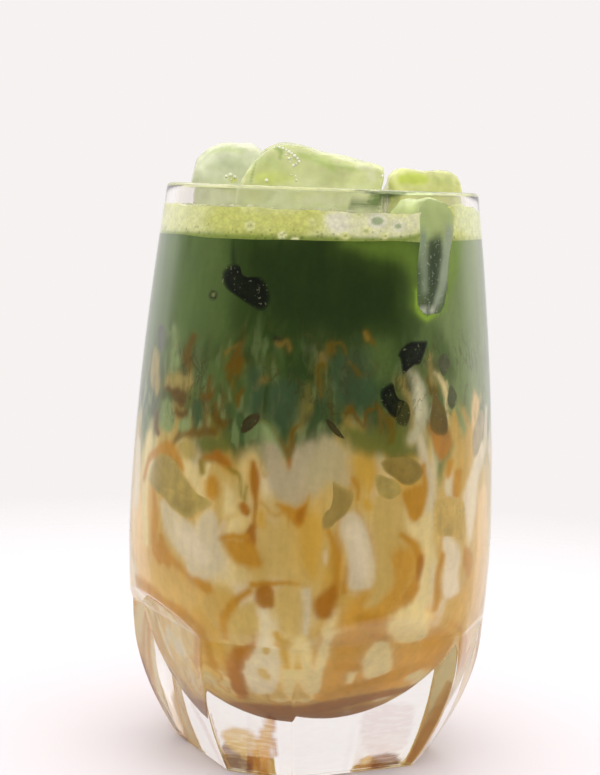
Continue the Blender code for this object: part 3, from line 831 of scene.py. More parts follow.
def rounded(points, closed):
    """More points along a line through the given ones, by a Catmull-Rom spline."""
    points = np.array(points, dtype=float)
    if closed:
        ring = np.vstack((points[-1:], points, points[:2]))
    else:
        ring = np.vstack((2 * points[0] - points[1], points, 2 * points[-1] - points[-2]))
    found = []
    for a, b, c, d in zip(ring, ring[1:], ring[2:], ring[3:]):
        for t in (0, 0.25, 0.5, 0.75):
            bend = 2 * a - 5 * b + 4 * c - d + t * (3 * (b - c) + d - a)
            found.append(b + 0.5 * t * (c - a + t * bend))
    if not closed:
        found.append(points[-1])
    return np.array(found)


def segment_distance(x, y, a, b):
    """Distance of points from a segment, and how far along it the nearest place is."""
    along = b - a
    length = max(float(along @ along), 1e-18)
    t = np.clip(((x - a[0]) * along[0] + (y - a[1]) * along[1]) / length, 0, 1)
    return np.hypot(x - a[0] - t * along[0], y - a[1] - t * along[1]), t


class Canvas:
    """Colours of points on the drink's side, laid over each other from the first mark to the last."""

    def __init__(self, azimuth, way, waver, radius_at=None):
        self.radius_at = radius_at or (lambda way: float(cavity_radius(wall_height(way / ACROSS))))
        self.azimuth = azimuth
        self.way = way
        self.waver = waver
        self.colour = np.zeros((len(way), 3))

    def chart(self, places, reach):
        """The points near the places, and both in metres round and up the wall from the places' middle."""
        middle = places.mean(axis=0)
        radius = self.radius_at(middle[1])
        round_way = (self.azimuth - middle[0] + math.pi) % (2 * math.pi) - math.pi
        x = round_way * radius + self.waver[:, 0]
        y = self.way - middle[1] + self.waver[:, 1]
        drawn = (places - middle) * (radius, 1)
        low = drawn.min(axis=0) - reach
        high = drawn.max(axis=0) + reach
        near = np.flatnonzero((x > low[0]) & (x < high[0]) & (y > low[1]) & (y < high[1]))
        return near, x[near], y[near], drawn

    def lay(self, near, colour, share):
        self.colour[near] += (colour - self.colour[near]) * share[:, None]

    def stroke(self, colour, soft, strength, places, widths):
        near, x, y, drawn = self.chart(places, widths.max() + soft)
        away = np.full(len(near), 1.0)
        for i in range(len(drawn) - 1):
            distance, t = segment_distance(x, y, drawn[i], drawn[i + 1])
            half = (widths[i] + t * (widths[i + 1] - widths[i])) / 2
            away = np.minimum(away, distance - half)
        self.lay(near, colour, strength * soft_step(soft / 2, -soft / 2, away))

    def field(self, colour, soft, strength, places):
        near, x, y, drawn = self.chart(places, soft)
        away = np.full(len(near), 1.0)
        inside = np.zeros(len(near), dtype=bool)
        for a, b in zip(drawn, np.roll(drawn, -1, axis=0)):
            away = np.minimum(away, segment_distance(x, y, a, b)[0])
            crossing = (a[1] > y) != (b[1] > y)
            rise = b[1] - a[1] if abs(b[1] - a[1]) > 1e-12 else 1e-12
            inside ^= crossing & (x < a[0] + (y - a[1]) / rise * (b[0] - a[0]))
        self.lay(near, colour, strength * soft_step(soft / 2, -soft / 2, np.where(inside, -away, away)))


def placed_marks(sight, marks):
    """The marks with their points carried from the photo to the drink's side."""
    found = []
    for name, colour, soft, points in marks:
        line = rounded(points, closed=len(points[0]) == FIELD)
        places, widths = [], []
        for point in line:
            place = sight.on_drink(point[0], point[1])
            if place is None:
                continue
            places.append(place)
            if len(point) == STROKE:
                widths.append(point[2] * PIXEL * sight.stretch(point[0], point[1]))
        if len(places) > 2:
            found.append((name, linear(colour), soft * SOFTER * PIXEL, np.array(places), np.array(widths)))
    return found


def lay_marks(canvas, marks, left_out=()):
    for name, colour, soft, places, widths in marks:
        if name in left_out:
            continue
        for spread, strength in ((HALO_WIDTH * soft, HALO), (soft, STRENGTH)):
            if len(widths):
                canvas.stroke(colour, spread, strength, places, widths)
            else:
                canvas.field(colour, spread, strength, places)


# How much paler than the photo's colours the paint is, to show like them in the glass
PAINT_GAIN = np.array((1.23, 1.29, 1.06))
BOWL_GAIN = 0.28
BOWL_HEIGHTS = (0.050, 0.018)
PALEST = 0.97
# Painted side light: the tea and the milk are painted paler towards the sides, where more light falls. Sides are
# given as sines of the azimuth, from and up to which something comes in
TEA_PAINTED_SIDE_LIGHT = 1.4
TEA_SIDES = (0.45, 0.95)
MILK_PAINTED_SIDE_LIGHT = 0.13
MILK_SIDES = (0.45, 0.75)
MILK_SIDES_END = (1.0, 0.88)
MILK_SIDES_TOP = (0.082, 0.074)
# Border of tea and milk: its height, its softness, and how far each noise moves it
TEA_EDGE = 0.0766
TEA_EDGE_STEP = (-0.0085, 0.0050)
EDGE_FOLDS = 0.009
EDGE_BROAD = 0.006
EDGE_FINE = 0.003
# Top of the brown bottom, and how far the folds move it
BROWN_TOP = (0.0185, 0.0145)
BROWN_WAVE = 0.0012
# Heights between which the drink is stirred, for its marks and for its ground
UNREST_TOP = (0.103, 0.092)
UNREST_FOOT = (0.072, 0.083)
TEA_UNREST = (0.104, 0.084)
TEA_UNREST_WAVE = 0.008
# Share of the strokes in the tea at the front, and the sides where all of them show
FRONT_SHARE = 0.62
STROKE_SIDES = (0.35, 0.8)
# Ground under the marks: tone, strength, and from and up to which noise it comes in
MILK_TONES = ((CREAM, 1.0, -0.15, 0.4), (GOLD, 0.8, 0.0, 0.45), (WHITE, 0.6, 0.25, 0.55))
VEIN_WIDTH = 0.09
VEIN_STRENGTH = 0.6
TEA_TONES = (
    (LEAF_GREEN, 1.0, -0.1, 0.35), (BLUE_GREEN, 0.8, 0.0, 0.3), (OLIVE, 0.8, 0.0, 0.35),
    (PALE_GREEN, 0.7, 0.15, 0.45))
CRACK_WIDTH = 0.06
CRACK_STRENGTH = 0.85
# Its noises: cells in a metre along X, Y and Z, and seed
BROAD_NOISE = ((95, 95, 45), 7.3)
FOLD_NOISE = ((240, 240, 90), 3.1)
FINE_NOISE = ((700, 700, 200), 5.7)
# How far the broad noise bends the others, and how far they shift the marks, calm and stirred
FOLD_BEND = 0.004
FINE_BEND = 0.002
FOLD_WAVER = (0.0007, 0.0007)
FINE_WAVER = (0.0003, 0.0005)
# Azimuths between which the front's marks give way to the back's
SEAM = (math.radians(84), math.radians(98))


def noise_over(points, scale, seed):
    """Three even noises over points, with cells of 1 / scale metres."""
    scales = np.array(scale) if np.ndim(scale) else np.array((scale, scale, scale))
    spots = points * scales + seed
    return np.array([noise.noise_vector(Vector(p)) for p in spots])


def mix(a, b, share):
    return a + (b - a) * np.clip(np.atleast_1d(share), 0, 1)[:, None]


def paint_gain(z):
    """The bowl's side faces down and gets less light, which its paler colours make up for."""
    return PAINT_GAIN * (1 + BOWL_GAIN * soft_step(*BOWL_HEIGHTS, z))[:, None]


def unrest_at(z):
    """How stirred the drink is: most where the tea sinks into the milk."""
    return soft_step(*UNREST_TOP, z) * soft_step(*UNREST_FOOT, z)


def even(colour, points):
    """One colour for each point."""
    return np.tile(linear(colour), (len(points), 1))


def milk_ground(points, broad, folds, fine):
    milk = even(SAND, points)
    sources = (
        broad[:, 0] + 0.5 * folds[:, 0],
        broad[:, 1] + 0.5 * folds[:, 1],
        folds[:, 0] - 0.3 * broad[:, 1],
    )
    for (tone, strength, low, high), source in zip(MILK_TONES, sources):
        milk = mix(milk, linear(tone), strength * soft_step(low, high, source))
    veins = np.exp(-((folds[:, 2] + 0.15 * fine[:, 0]) / VEIN_WIDTH) ** 2)
    return mix(milk, linear(AMBER), VEIN_STRENGTH * (veins * soft_step(-0.1, 0.35, broad[:, 2])))


def tea_ground(points, azimuth, broad, folds, fine):
    """Calm green, painted paler towards the sides as painted side light, and under it strokes, patches and
    cracks that are strongest at the sides.
    """
    mottles = soft_step(0.0, 0.6, broad[:, 0] + 0.6 * fine[:, 0])
    calm = mix(even(GREEN, points), linear(LEAF_GREEN), 0.5 * mottles)
    side = np.abs(np.sin(azimuth))
    # Painted side light: the calm green is painted paler towards the sides
    calm *= (1 + TEA_PAINTED_SIDE_LIGHT * soft_step(*TEA_SIDES, side))[:, None]
    unrest = soft_step(*TEA_UNREST, points[:, 2] + TEA_UNREST_WAVE * broad[:, 1])
    tea = calm
    sources = (
        folds[:, 0] + 0.5 * fine[:, 0],
        broad[:, 1] + 0.3 * fine[:, 1],
        folds[:, 1] - 0.4 * fine[:, 0],
        fine[:, 1] + 0.7 * folds[:, 0],
    )
    for (tone, strength, low, high), source in zip(TEA_TONES, sources):
        tea = mix(tea, linear(tone), strength * unrest * soft_step(low, high, source))
    cracks = np.exp(-((folds[:, 1] + 0.25 * fine[:, 2]) / CRACK_WIDTH) ** 2)
    cracks = cracks * soft_step(-0.1, 0.25, broad[:, 2])
    tea = mix(tea, linear(UMBER), CRACK_STRENGTH * unrest * cracks)
    return mix(calm, tea, FRONT_SHARE + (1 - FRONT_SHARE) * soft_step(*STROKE_SIDES, side))


def drink_colours(points, marks):
    """Colours over the drink's points: the ground of milk and tea, then the marks, front and back, with painted
    side light on the milk's flanks.
    """
    azimuth = azimuth_of(points)
    way = way_up(points)
    broad = noise_over(points, *BROAD_NOISE)
    folds = noise_over(points + broad * FOLD_BEND, *FOLD_NOISE)
    fine = noise_over(points + broad * FINE_BEND, *FINE_NOISE)
    unrest = unrest_at(points[:, 2])[:, None]
    waver = folds[:, :2] * (FOLD_WAVER[0] + FOLD_WAVER[1] * unrest)
    waver += fine[:, :2] * (FINE_WAVER[0] + FINE_WAVER[1] * unrest)
    edge = points[:, 2] - TEA_EDGE + EDGE_FOLDS * folds[:, 2] + EDGE_BROAD * broad[:, 0] + EDGE_FINE * fine[:, 0]
    milk = milk_ground(points, broad, folds, fine)
    tea = tea_ground(points, azimuth, broad, folds, fine)
    ground = mix(milk, tea, soft_step(*TEA_EDGE_STEP, edge))
    low = soft_step(*BROWN_TOP, points[:, 2] + BROWN_WAVE * folds[:, 0])
    ground = mix(ground, linear(BOTTOM_BROWN), low)
    faces = []
    for turn, left_out in ((0.0, ()), (math.pi, ICE_GLOW)):
        canvas = Canvas(azimuth + turn, way, waver)
        canvas.colour = ground.copy()
        lay_marks(canvas, marks, left_out)
        faces.append(canvas.colour)
    both = mix(faces[0], faces[1], soft_step(*SEAM, np.abs(azimuth)))
    side = np.abs(np.sin(azimuth))
    # Painted side light on the milk's flanks, below the tea
    milk_side_light = soft_step(*MILK_SIDES, side) * soft_step(*MILK_SIDES_END, side)
    milk_side_light *= soft_step(*MILK_SIDES_TOP, points[:, 2])
    return both * paint_gain(points[:, 2]) * (1 + MILK_PAINTED_SIDE_LIGHT * milk_side_light)[:, None]


def write_colours(ob, colours, stirred=True):
    layer = ob.data.color_attributes.new("paint", "FLOAT_COLOR", "POINT")
    flat = np.ones((len(colours), 4))
    flat[:, :3] = colours * np.minimum(1, PALEST / colours.max(axis=1))[:, None]
    layer.data.foreach_set("color", flat.ravel())
    unrest = ob.data.attributes.new("unrest", "FLOAT", "POINT")
    unrest.data.foreach_set("value", unrest_at(coordinates(ob)[:, 2]) * stirred)


# Materials

# Brush-like patches and cracks in the drink: cells, from and up to which noise, strength, linear colour
PATCHES = (
    (260.0, 0.52, 0.66, 0.34, (0.070, 0.062, 0.012)),
    (420.0, 0.54, 0.68, 0.34, (0.130, 0.165, 0.070)),
    (340.0, 0.57, 0.70, 0.26, (0.230, 0.190, 0.075)),
)
CRACK = (300.0, 0.0, 0.035, 0.55, (0.060, 0.042, 0.008))
# Tone of the pale specks in the sunk ice: tiny bubbles, painted pale as glints
SPECK_TONE = (0.34, 0.35, 0.20)


class Nodes:
    """Short ways to add nodes to a material."""

    def __init__(self, name):
        self.material = bpy.data.materials.new(name)
        self.material.use_nodes = True
        self.tree = self.material.node_tree
        self.shader = self.tree.nodes["Principled BSDF"]
        self.output = self.tree.nodes["Material Output"]

    def add(self, kind, **settings):
        node = self.tree.nodes.new(kind)
        for key, value in settings.items():
            setattr(node, key, value)
        return node

    def link(self, source, target):
        self.tree.links.new(source, target)

    def set(self, **values):
        for key, value in values.items():
            self.shader.inputs[key.replace("_", " ")].default_value = value

    def paint(self):
        return self.add("ShaderNodeAttribute", attribute_name="paint").outputs["Color"]

    def into(self, socket, source):
        self.link(source, self.shader.inputs[socket])

    def cells(self, scale):
        node = self.add("ShaderNodeTexVoronoi", feature="F1")
        node.inputs["Scale"].default_value = scale
        self.link(self.place(), node.inputs["Vector"])
        return node.outputs["Distance"]

    def place(self):
        return self.add("ShaderNodeTexCoord").outputs["Object"]

    def noise(self, scale, detail=3.0, rough=0.5, vector=None, bend=0.0):
        node = self.add("ShaderNodeTexNoise")
        node.inputs["Distortion"].default_value = bend
        node.inputs["Scale"].default_value = scale
        node.inputs["Detail"].default_value = detail
        node.inputs["Roughness"].default_value = rough
        self.link(vector or self.place(), node.inputs["Vector"])
        return node.outputs["Fac"]

    def stretched(self, x, y, z):
        node = self.add("ShaderNodeMapping")
        node.inputs["Scale"].default_value = (x, y, z)
        self.link(self.place(), node.inputs["Vector"])
        return node.outputs["Vector"]

    def span(self, source, low, high, start, end):
        node = self.add("ShaderNodeMapRange")
        for key, value in (("From Min", low), ("From Max", high), ("To Min", start), ("To Max", end)):
            node.inputs[key].default_value = value
        self.link(source, node.inputs["Value"])
        return node.outputs["Result"]

    def times(self, a, b):
        node = self.add("ShaderNodeMath", operation="MULTIPLY")
        self.link(a, node.inputs[0])
        self.link(b, node.inputs[1])
        return node.outputs[0]

    def shade(self, colour, factor):
        """A colour multiplied by a number."""
        node = self.add("ShaderNodeVectorMath", operation="SCALE")
        self.link(colour, node.inputs[0])
        self.link(factor, node.inputs["Scale"])
        return node.outputs[0]

    def blend(self, factor, a, b):
        node = self.add("ShaderNodeMix", data_type="RGBA")
        self.link(factor, node.inputs["Factor"])
        for socket, value in ((node.inputs[6], a), (node.inputs[7], b)):
            if isinstance(value, tuple):
                socket.default_value = (*value, 1.0)
            else:
                self.link(value, socket)
        return node.outputs[2]

    def bump(self, height, strength, distance):
        node = self.add("ShaderNodeBump")
        node.inputs["Strength"].default_value = strength
        node.inputs["Distance"].default_value = distance
        self.link(height, node.inputs["Height"])
        self.link(node.outputs["Normal"], self.shader.inputs["Normal"])


def glass_material():
    nodes = Nodes("pressed_glass")
    # The paint holds the painted reflections of the drink, which tint the glass where they lie
    paint = nodes.paint()
    faded = nodes.add("ShaderNodeGamma")
    faded.inputs["Gamma"].default_value = 0.55
    nodes.link(paint, faded.inputs["Color"])
    rows = nodes.noise(900.0, 2.0, vector=nodes.stretched(0.3, 0.3, 1.6), bend=0.4)
    ripples = nodes.span(rows, 0.45, 0.60, 0.0, 0.7)
    nodes.into("Base Color", nodes.blend(ripples, paint, faded.outputs["Color"]))
    nodes.set(IOR=GLASS_IOR, Transmission_Weight=1.0)
    nodes.into("Roughness", nodes.span(nodes.noise(60.0), 0.4, 0.8, 0.0, 0.012))
    nodes.bump(nodes.noise(140.0, vector=nodes.stretched(1, 1, 0.5)), 0.06, 0.0004)
    return nodes.material


def drink_material(name, fine=700.0, change=0.045, specks=0.0):
    """The painted colours, with fine powder, and with thin dark and pale threads where the tea sinks."""
    nodes = Nodes(name)
    colour = nodes.paint()
    unrest = nodes.add("ShaderNodeAttribute", attribute_name="unrest").outputs["Fac"]
    stirred = nodes.span(unrest, 0.0, 1.0, 0.0, 1.0)
    for scale, low, high, strength, tone in PATCHES:
        drawn = nodes.noise(scale, 4.0, 0.55, nodes.stretched(1, 1, 0.42), bend=0.5)
        share = nodes.times(nodes.span(drawn, low, high, 0.0, strength), stirred)
        colour = nodes.blend(share, colour, tone)
    scale, low, high, strength, tone = CRACK
    drawn = nodes.noise(scale, 3.0, 0.55, nodes.stretched(1, 1, 0.5), bend=0.6)
    away = nodes.add("ShaderNodeMath", operation="ABSOLUTE")
    nodes.link(nodes.span(drawn, 0.0, 1.0, -0.5, 0.5), away.inputs[0])
    where = nodes.span(nodes.noise(130.0), 0.48, 0.60, 0.0, 1.0)
    line = nodes.times(nodes.span(away.outputs[0], low, high, strength, 0.0), where)
    colour = nodes.blend(nodes.times(line, stirred), colour, tone)
    # Pale specks, used only in the sunk ice: tiny bubbles with painted glints
    bubble_glints = nodes.span(nodes.noise(1500.0, 2.0), 0.64, 0.70, 0.0, specks)
    colour = nodes.blend(bubble_glints, colour, SPECK_TONE)
    grain = nodes.span(nodes.noise(fine, 4.0, 0.6), 0.3, 0.7, 1 - change, 1 + change)
    threads = nodes.noise(300.0, 4.0, 0.6, nodes.stretched(1, 1, 0.25))
    factor = nodes.times(grain, nodes.span(threads, 0.3, 0.7, 1 - 2 * change, 1 + 2 * change))
    nodes.into("Base Color", nodes.shade(colour, factor))
    nodes.into("Roughness", nodes.span(grain, 0.9, 1.1, 0.40, 0.52))
    nodes.set(IOR=WATER_IOR, Specular_IOR_Level=0.15)
    return nodes.material


# Cells in the froth: how many in a metre, and how much darker their rims are
FROTH_CELLS = ((650.0, 0.08), (1500.0, 0.07))
PINHOLE_CELLS = 800.0


def froth_material():
    """Fine cells, yellower in their middles, and pinholes near the foot."""
    nodes = Nodes("fine_froth")
    factors = []
    for scale, depth in FROTH_CELLS:
        factors.append(nodes.span(nodes.cells(scale), 0.15, 0.75, 1 + depth, 1 - depth))
    factor = nodes.times(*factors)
    parts = nodes.add("ShaderNodeSeparateXYZ")
    nodes.link(nodes.place(), parts.inputs[0])
    foot = nodes.span(parts.outputs["Z"], 0.1195, 0.1225, 0.30, 0.06)
    near = nodes.add("ShaderNodeMath", operation="LESS_THAN")
    nodes.link(nodes.cells(PINHOLE_CELLS), near.inputs[0])
    nodes.link(foot, near.inputs[1])
    pin = nodes.span(near.outputs[0], 0.0, 1.0, 1.0, 0.72)
    nodes.into("Base Color", nodes.shade(nodes.paint(), nodes.times(factor, pin)))
    nodes.bump(factor, 0.5, 0.0004)
    nodes.set(Roughness=0.45, Specular_IOR_Level=0.3)
    return nodes.material


def bubble_material():
    nodes = Nodes("froth_bubble")
    tone = nodes.span(nodes.noise(500.0), 0.35, 0.65, 0, 1)
    nodes.into("Base Color", nodes.blend(tone, (0.46, 0.50, 0.24), (0.66, 0.69, 0.42)))
    nodes.bump(nodes.noise(2500.0), 0.2, 0.0002)
    nodes.set(Roughness=0.12, IOR=WATER_IOR, Transmission_Weight=0.35)
    return nodes.material


def wall_ice_material():
    """Ice that is frosted where it lies against the glass, with fine specks."""
    nodes = Nodes("frosted_wall_ice")
    paint = nodes.paint()
    specks = nodes.span(nodes.noise(1500.0, 2.0), 0.60, 0.72, 0.0, 0.5)
    nodes.into("Base Color", nodes.blend(specks, paint, (0.60, 0.64, 0.48)))
    nodes.bump(nodes.noise(400.0), 0.2, 0.0004)
    nodes.set(Roughness=0.22, IOR=ICE_IOR, Transmission_Weight=0.12)
    return nodes.material


def ice_material():
    nodes = Nodes("wet_ice")
    paint = nodes.paint()
    cloud = nodes.noise(140.0, 4.0, 0.6)
    fine = nodes.span(nodes.noise(520.0), 0.3, 0.7, 0.95, 1.05)
    grain = nodes.times(nodes.span(cloud, 0.35, 0.7, 0.90, 1.08), fine)
    nodes.into("Base Color", nodes.shade(paint, grain))
    nodes.into("Roughness", nodes.span(cloud, 0.35, 0.75, 0.08, 0.26))
    nodes.into("Transmission Weight", nodes.span(nodes.noise(90.0), 0.40, 0.65, 0.62, 0.30))
    nodes.bump(nodes.noise(260.0), 0.25, 0.0006)
    nodes.set(IOR=ICE_IOR)
    return nodes.material


def bead_material():
    nodes = Nodes("melt_water_bead_glint")
    # Pale base colour: painted glints on the clear melt water
    tone = nodes.span(nodes.noise(900.0), 0.4, 0.6, 0.0, 1.0)
    nodes.into("Base Color", nodes.blend(tone, (0.80, 0.84, 0.66), (0.94, 0.95, 0.86)))
    nodes.set(Roughness=0.05, IOR=WATER_IOR, Transmission_Weight=0.25)
    return nodes.material


# Pieces

def add_layer(name, node, bottom, top, side_rows, top_shares, mat):
    ob = add_mesh(name, *skin(*layer_rings(bottom, top, side_rows, top_shares)))
    ob.data.set_sharp_from_angle(angle=math.radians(40))
    ob.data.materials.append(mat)
    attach(ob, "root")
    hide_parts(node)
    return ob


def ice_mesh(name, size, squareness, lean, seed, grow, divisions):
    bm = bmesh.new()
    bmesh.ops.create_cube(bm, size=2.0)
    bmesh.ops.subdivide_edges(bm, edges=bm.edges, cuts=divisions - 1, use_grid_fill=True)
    for vert in bm.verts:
        spread = sum(abs(c) ** squareness for c in vert.co) ** (1 / squareness)
        unit = vert.co / spread
        dent = ICE_DENT * noise.noise(unit * ICE_DENT_CELLS + Vector((seed, 0.0, 0.0)))
        melt = 0.0
        if grow == 0:
            melt = ICE_MELT * noise.noise(unit * ICE_MELT_CELLS + Vector((0.0, seed, 2.0)))
        towards_top = ((unit.z + 1) / 2) ** 3
        inward = (lean[0] * (1 - unit.x) - lean[1] * (1 + unit.x)) / 2 * towards_top
        vert.co = [unit[k] * (size[k] / 2 + grow + dent + melt) for k in range(3)]
        vert.co.x += inward
        if name.startswith("ice_middle"):
            vert.co.z -= MIDDLE_DIP * soft_step(-0.55, 0.0, unit.x) * soft_step(0.6, 0.98, unit.z)
    bmesh.ops.recalc_face_normals(bm, faces=bm.faces)
    return shaped(bm, name)


# Tones of the standing cubes, low down and high up
ICE_TONES = {
    "ice_left": ((232, 238, 204), (222, 228, 194)),
    "ice_middle": ((230, 238, 196), (220, 226, 166)),
    "ice_right": ((226, 234, 178), (226, 230, 158)),
}
TOP_ICE_CLOUD = (190, 2.7)
TOP_ICE_STRENGTH = 0.85
# Marks on the standing cubes; among them a painted highlight at the middle cube's end and a painted glint on the
# left droplet
TOP_ICE_MARKS = (
    ("green top, left", (204, 218, 162), 6, ((212, 152, 8), (226, 149, 9), (242, 151, 8))),
    ("grey heart, left", (212, 222, 182), 7, ((212, 166, 10), (226, 162, 14), (240, 164, 12))),
    ("painted glint on the droplet, left", (250, 252, 214), 2, ((226, 177, 5), (231, 175, 5), (236, 178, 4))),
    ("droplet's heart, left", (224, 230, 96), 2, ((231, 180, 5), (235, 180, 5))),
    ("shaded edge, middle", (146, 166, 104), 3, ((251, 181, 2.5), (254, 168, 3), (259, 156, 3.5),
        (267, 150, 3))),
    ("shaded peak", (138, 168, 84), 4, ((276, 148, 5), (281, 151, 5), (280, 158, 3))),
    ("flank, middle", (210, 222, 154), 7, ((262, 160, 10), (272, 162, 12), (280, 170, 10))),
    ("yellow green flank", (218, 228, 136), 7, ((260, 178, 12), (276, 178, 14), (290, 178, 10))),
    ("green top face", (190, 212, 126), 6, ((300, 154, 7), (314, 158, 10), (328, 164, 10), (334, 170, 6))),
    ("pale ridge behind", (216, 224, 182), 2.5, ((292, 150, 3), (310, 153, 3), (334, 159, 3), (356, 161, 3),
        (376, 162, 3))),
    ("green wedge", (198, 214, 144), 4, ((338, 165, 5), (348, 168, 6), (358, 171, 4))),
    ("painted highlight, end of the middle cube", (234, 238, 198), 6, ((360, 166, 8), (370, 168, 9), (372, 178, 9))),
    ("pale foot, middle", (226, 232, 170), 7, ((312, 177, 10), (334, 179, 10), (358, 180, 9))),
    ("yellow green heart, right", (196, 218, 64), 7, ((402, 179, 10), (413, 178, 15), (424, 179, 11))),
    ("green right part", (214, 224, 150), 7, ((438, 178, 12), (450, 181, 10))),
    ("pale top edge, right", (224, 236, 148), 2.5, ((391, 174, 3), (407, 170, 3), (430, 169.5, 3),
        (446, 171, 3), (457, 176, 3))),
)
# Beads of melt water on the standing cubes, painted pale as glints: x, y and half width
ICE_BEADS = (
    (279.5, 147.5, 1.0), (283, 148.5, 1.3), (286.5, 150, 1.1), (289, 152, 1.5), (292, 153.5, 1.2),
        (294.5, 156, 1.6),
    (297.5, 158.5, 1.3), (299, 161.5, 1.4), (296.5, 164, 1.1), (293.5, 165.5, 1.5), (290.5, 162, 1.0),
        (289, 158.5, 1.3),
    (286, 155, 0.9), (291.5, 158, 0.9), (295.5, 176, 1.0), (296.5, 180, 1.2), (291, 174.5, 0.8),
        (266.5, 180.5, 1.7),
    (226.5, 176.5, 1.4), (230.5, 175, 1.9), (235, 177, 1.5), (231, 180, 1.2), (382, 176, 1.4),
)
BEAD_SIZE = 0.00027


def ice_colours(cube, name, sight):
    """Clouded tones over a cube, then the marks where the camera's rays meet it."""
    points = coordinates(cube)
    tree = BVHTree.FromObject(cube, bpy.context.evaluated_depsgraph_get())
    cloud = noise_over(points, *TOP_ICE_CLOUD)
    low, high = (linear(tone) for tone in ICE_TONES[name])
    rise = (points[:, 2] - points[:, 2].min()) / np.ptp(points[:, 2])
    colours = mix(np.tile(low, (len(points), 1)), high, soft_step(0.40, 0.75, rise + 0.2 * cloud[:, 0]))
    for _, colour, soft, line in TOP_ICE_MARKS:
        hits = [(tree.ray_cast(EYE, sight.ray(x, y))[0], wide) for x, y, wide in rounded(line, False)]
        hits = [(np.array(hit), wide) for hit, wide in hits if hit is not None]
        if len(hits) < 2:
            continue
        away = np.full(len(points), 1.0)
        for place, wide in hits:
            away = np.minimum(away, np.linalg.norm(points - place, axis=1) - wide / 2 * PIXEL)
        reach = soft * PIXEL
        colours = mix(colours, linear(colour), TOP_ICE_STRENGTH * soft_step(reach / 2, -reach / 2, away))
    return colours


def add_beads(sight):
    depsgraph = bpy.context.evaluated_depsgraph_get()
    trees = [BVHTree.FromObject(bpy.data.objects[name + "_clear"], depsgraph) for name in ICE_TONES]
    bm = bmesh.new()
    for x, y, wide in ICE_BEADS:
        hits = [tree.ray_cast(EYE, sight.ray(x, y))[0] for tree in trees]
        hits = [hit for hit in hits if hit is not None]
        if hits:
            nearest = min(hits, key=lambda hit: (hit - EYE).length)
            place = Matrix.Translation(nearest)
            bmesh.ops.create_icosphere(bm, subdivisions=2, radius=BEAD_SIZE * wide, matrix=place)
    ob = shaped(bm, "ice_beads")
    ob.data.materials.append(bead_material())
    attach(ob, "root")


def ice_place(centre, turn):
    rotation = Matrix.Rotation(math.radians(turn[2]), 4, "Z")
    rotation @= Matrix.Rotation(math.radians(turn[1]), 4, "Y")
    rotation @= Matrix.Rotation(math.radians(turn[0]), 4, "X")
    return Matrix.Translation(centre) @ rotation


def wall_ice_colours(points, marks):
    cloud = noise_over(points, *WALL_ICE_CLOUD)
    canvas = Canvas(azimuth_of(points), way_up(points), cloud[:, :2] * WALL_ICE_WAVER)
    rise = soft_step(*WALL_ICE_RISE, points[:, 2])
    tones = mix(even(WALL_ICE_LOW, points), linear(WALL_ICE_HIGH), rise)
    canvas.colour = tones.copy()
    lay_marks(canvas, marks)
    at_wall = soft_step(0.004, 0.0012, cavity_radius(points[:, 2]) - np.hypot(points[:, 0], points[:, 1]))
    return mix(tones, canvas.colour, at_wall) * (1 + 0.2 * cloud[:, :1]) * WALL_ICE_GAIN


def add_core():
    """The tumbler's inside, which shapes the cube that leans on the wall."""
    azimuth = np.linspace(0, 2 * math.pi, 360, endpoint=False)
    rings = [(0 * azimuth, 0.09)]
    for z in np.linspace(0.09, HEIGHT + 0.002, 30):
        rings.append((cavity_radius(z, REACH) + 0 * azimuth, z))
    rings.append((0 * azimuth, HEIGHT + 0.002))
    return add_mesh("core", *skin(azimuth, rings))


def add_ice(mat, sight):
    """The cubes, and slightly smaller copies that cut the drink, so that it lies against the ice."""
    rooms = []
    core = add_core()
    for seed, (name, (centre, size, turn, squareness, lean)) in enumerate(ICE.items()):
        cube = ice_mesh(name + "_clear", size, squareness, lean, seed, 0.0, ICE_DIVISIONS)
        cube.data.transform(ice_place(centre, turn))
        if name == WALL_ICE:
            cut_by(cube, [core], "INTERSECT")
        cube.data.materials.clear()
        if name == WALL_ICE:
            colours = wall_ice_colours(coordinates(cube), placed_marks(sight, WALL_ICE_MARKS))
        else:
            colours = ice_colours(cube, name, sight)
        cube.data.materials.append(wall_ice_material() if name == WALL_ICE else mat)
        write_colours(cube, colours, stirred=False)
        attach(cube, "root")
        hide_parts(name)
        room = ice_mesh(name + "_room", size, squareness, lean, seed, -ROOM_GAP, ROOM_DIVISIONS)
        room.data.transform(ice_place(centre, turn))
        rooms.append(room)
    bpy.data.objects.remove(core)
    return rooms


def add_drink(marks, froth_marks, rooms):
    shares = (1.0, 0.97, 0.9, 0.75, 0.5, 0.25, 0.0)
    fine_shares = list(np.linspace(1, 0, 44))
    drink = drink_material("milk_and_tea")
    layers = (
        ("syrup_layer", "syrup", "syrup", None, syrup_top, 36, shares),
        ("marbled_milk", "milk", "milk", syrup_top, milk_top, 150, shares),
        ("green_tea", "matcha", "matcha", milk_top, matcha_top, 92, shares),
    )
    for name, node, slot, bottom, top, rows, tops in layers:
        ob = add_layer(name, node, bottom, top, rows, tops, drink)
        if node == "matcha":
            cut_by(ob, rooms)
        write_colours(ob, drink_colours(coordinates(ob), marks))
    froth = add_layer("froth", "foam", matcha_top, foam_top, 26, fine_shares, froth_material())
    cut_by(froth, rooms)
    write_colours(froth, froth_colours(coordinates(froth), froth_marks))
    return froth


FROTH = (204, 210, 118)
FROTH_PALE = (222, 227, 168)
FROTH_LOW = (130, 150, 60)
FROTH_WHITE = (250, 250, 226)
HOLE_GREEN = (158, 174, 136)
FROTH_GAIN = 1.25
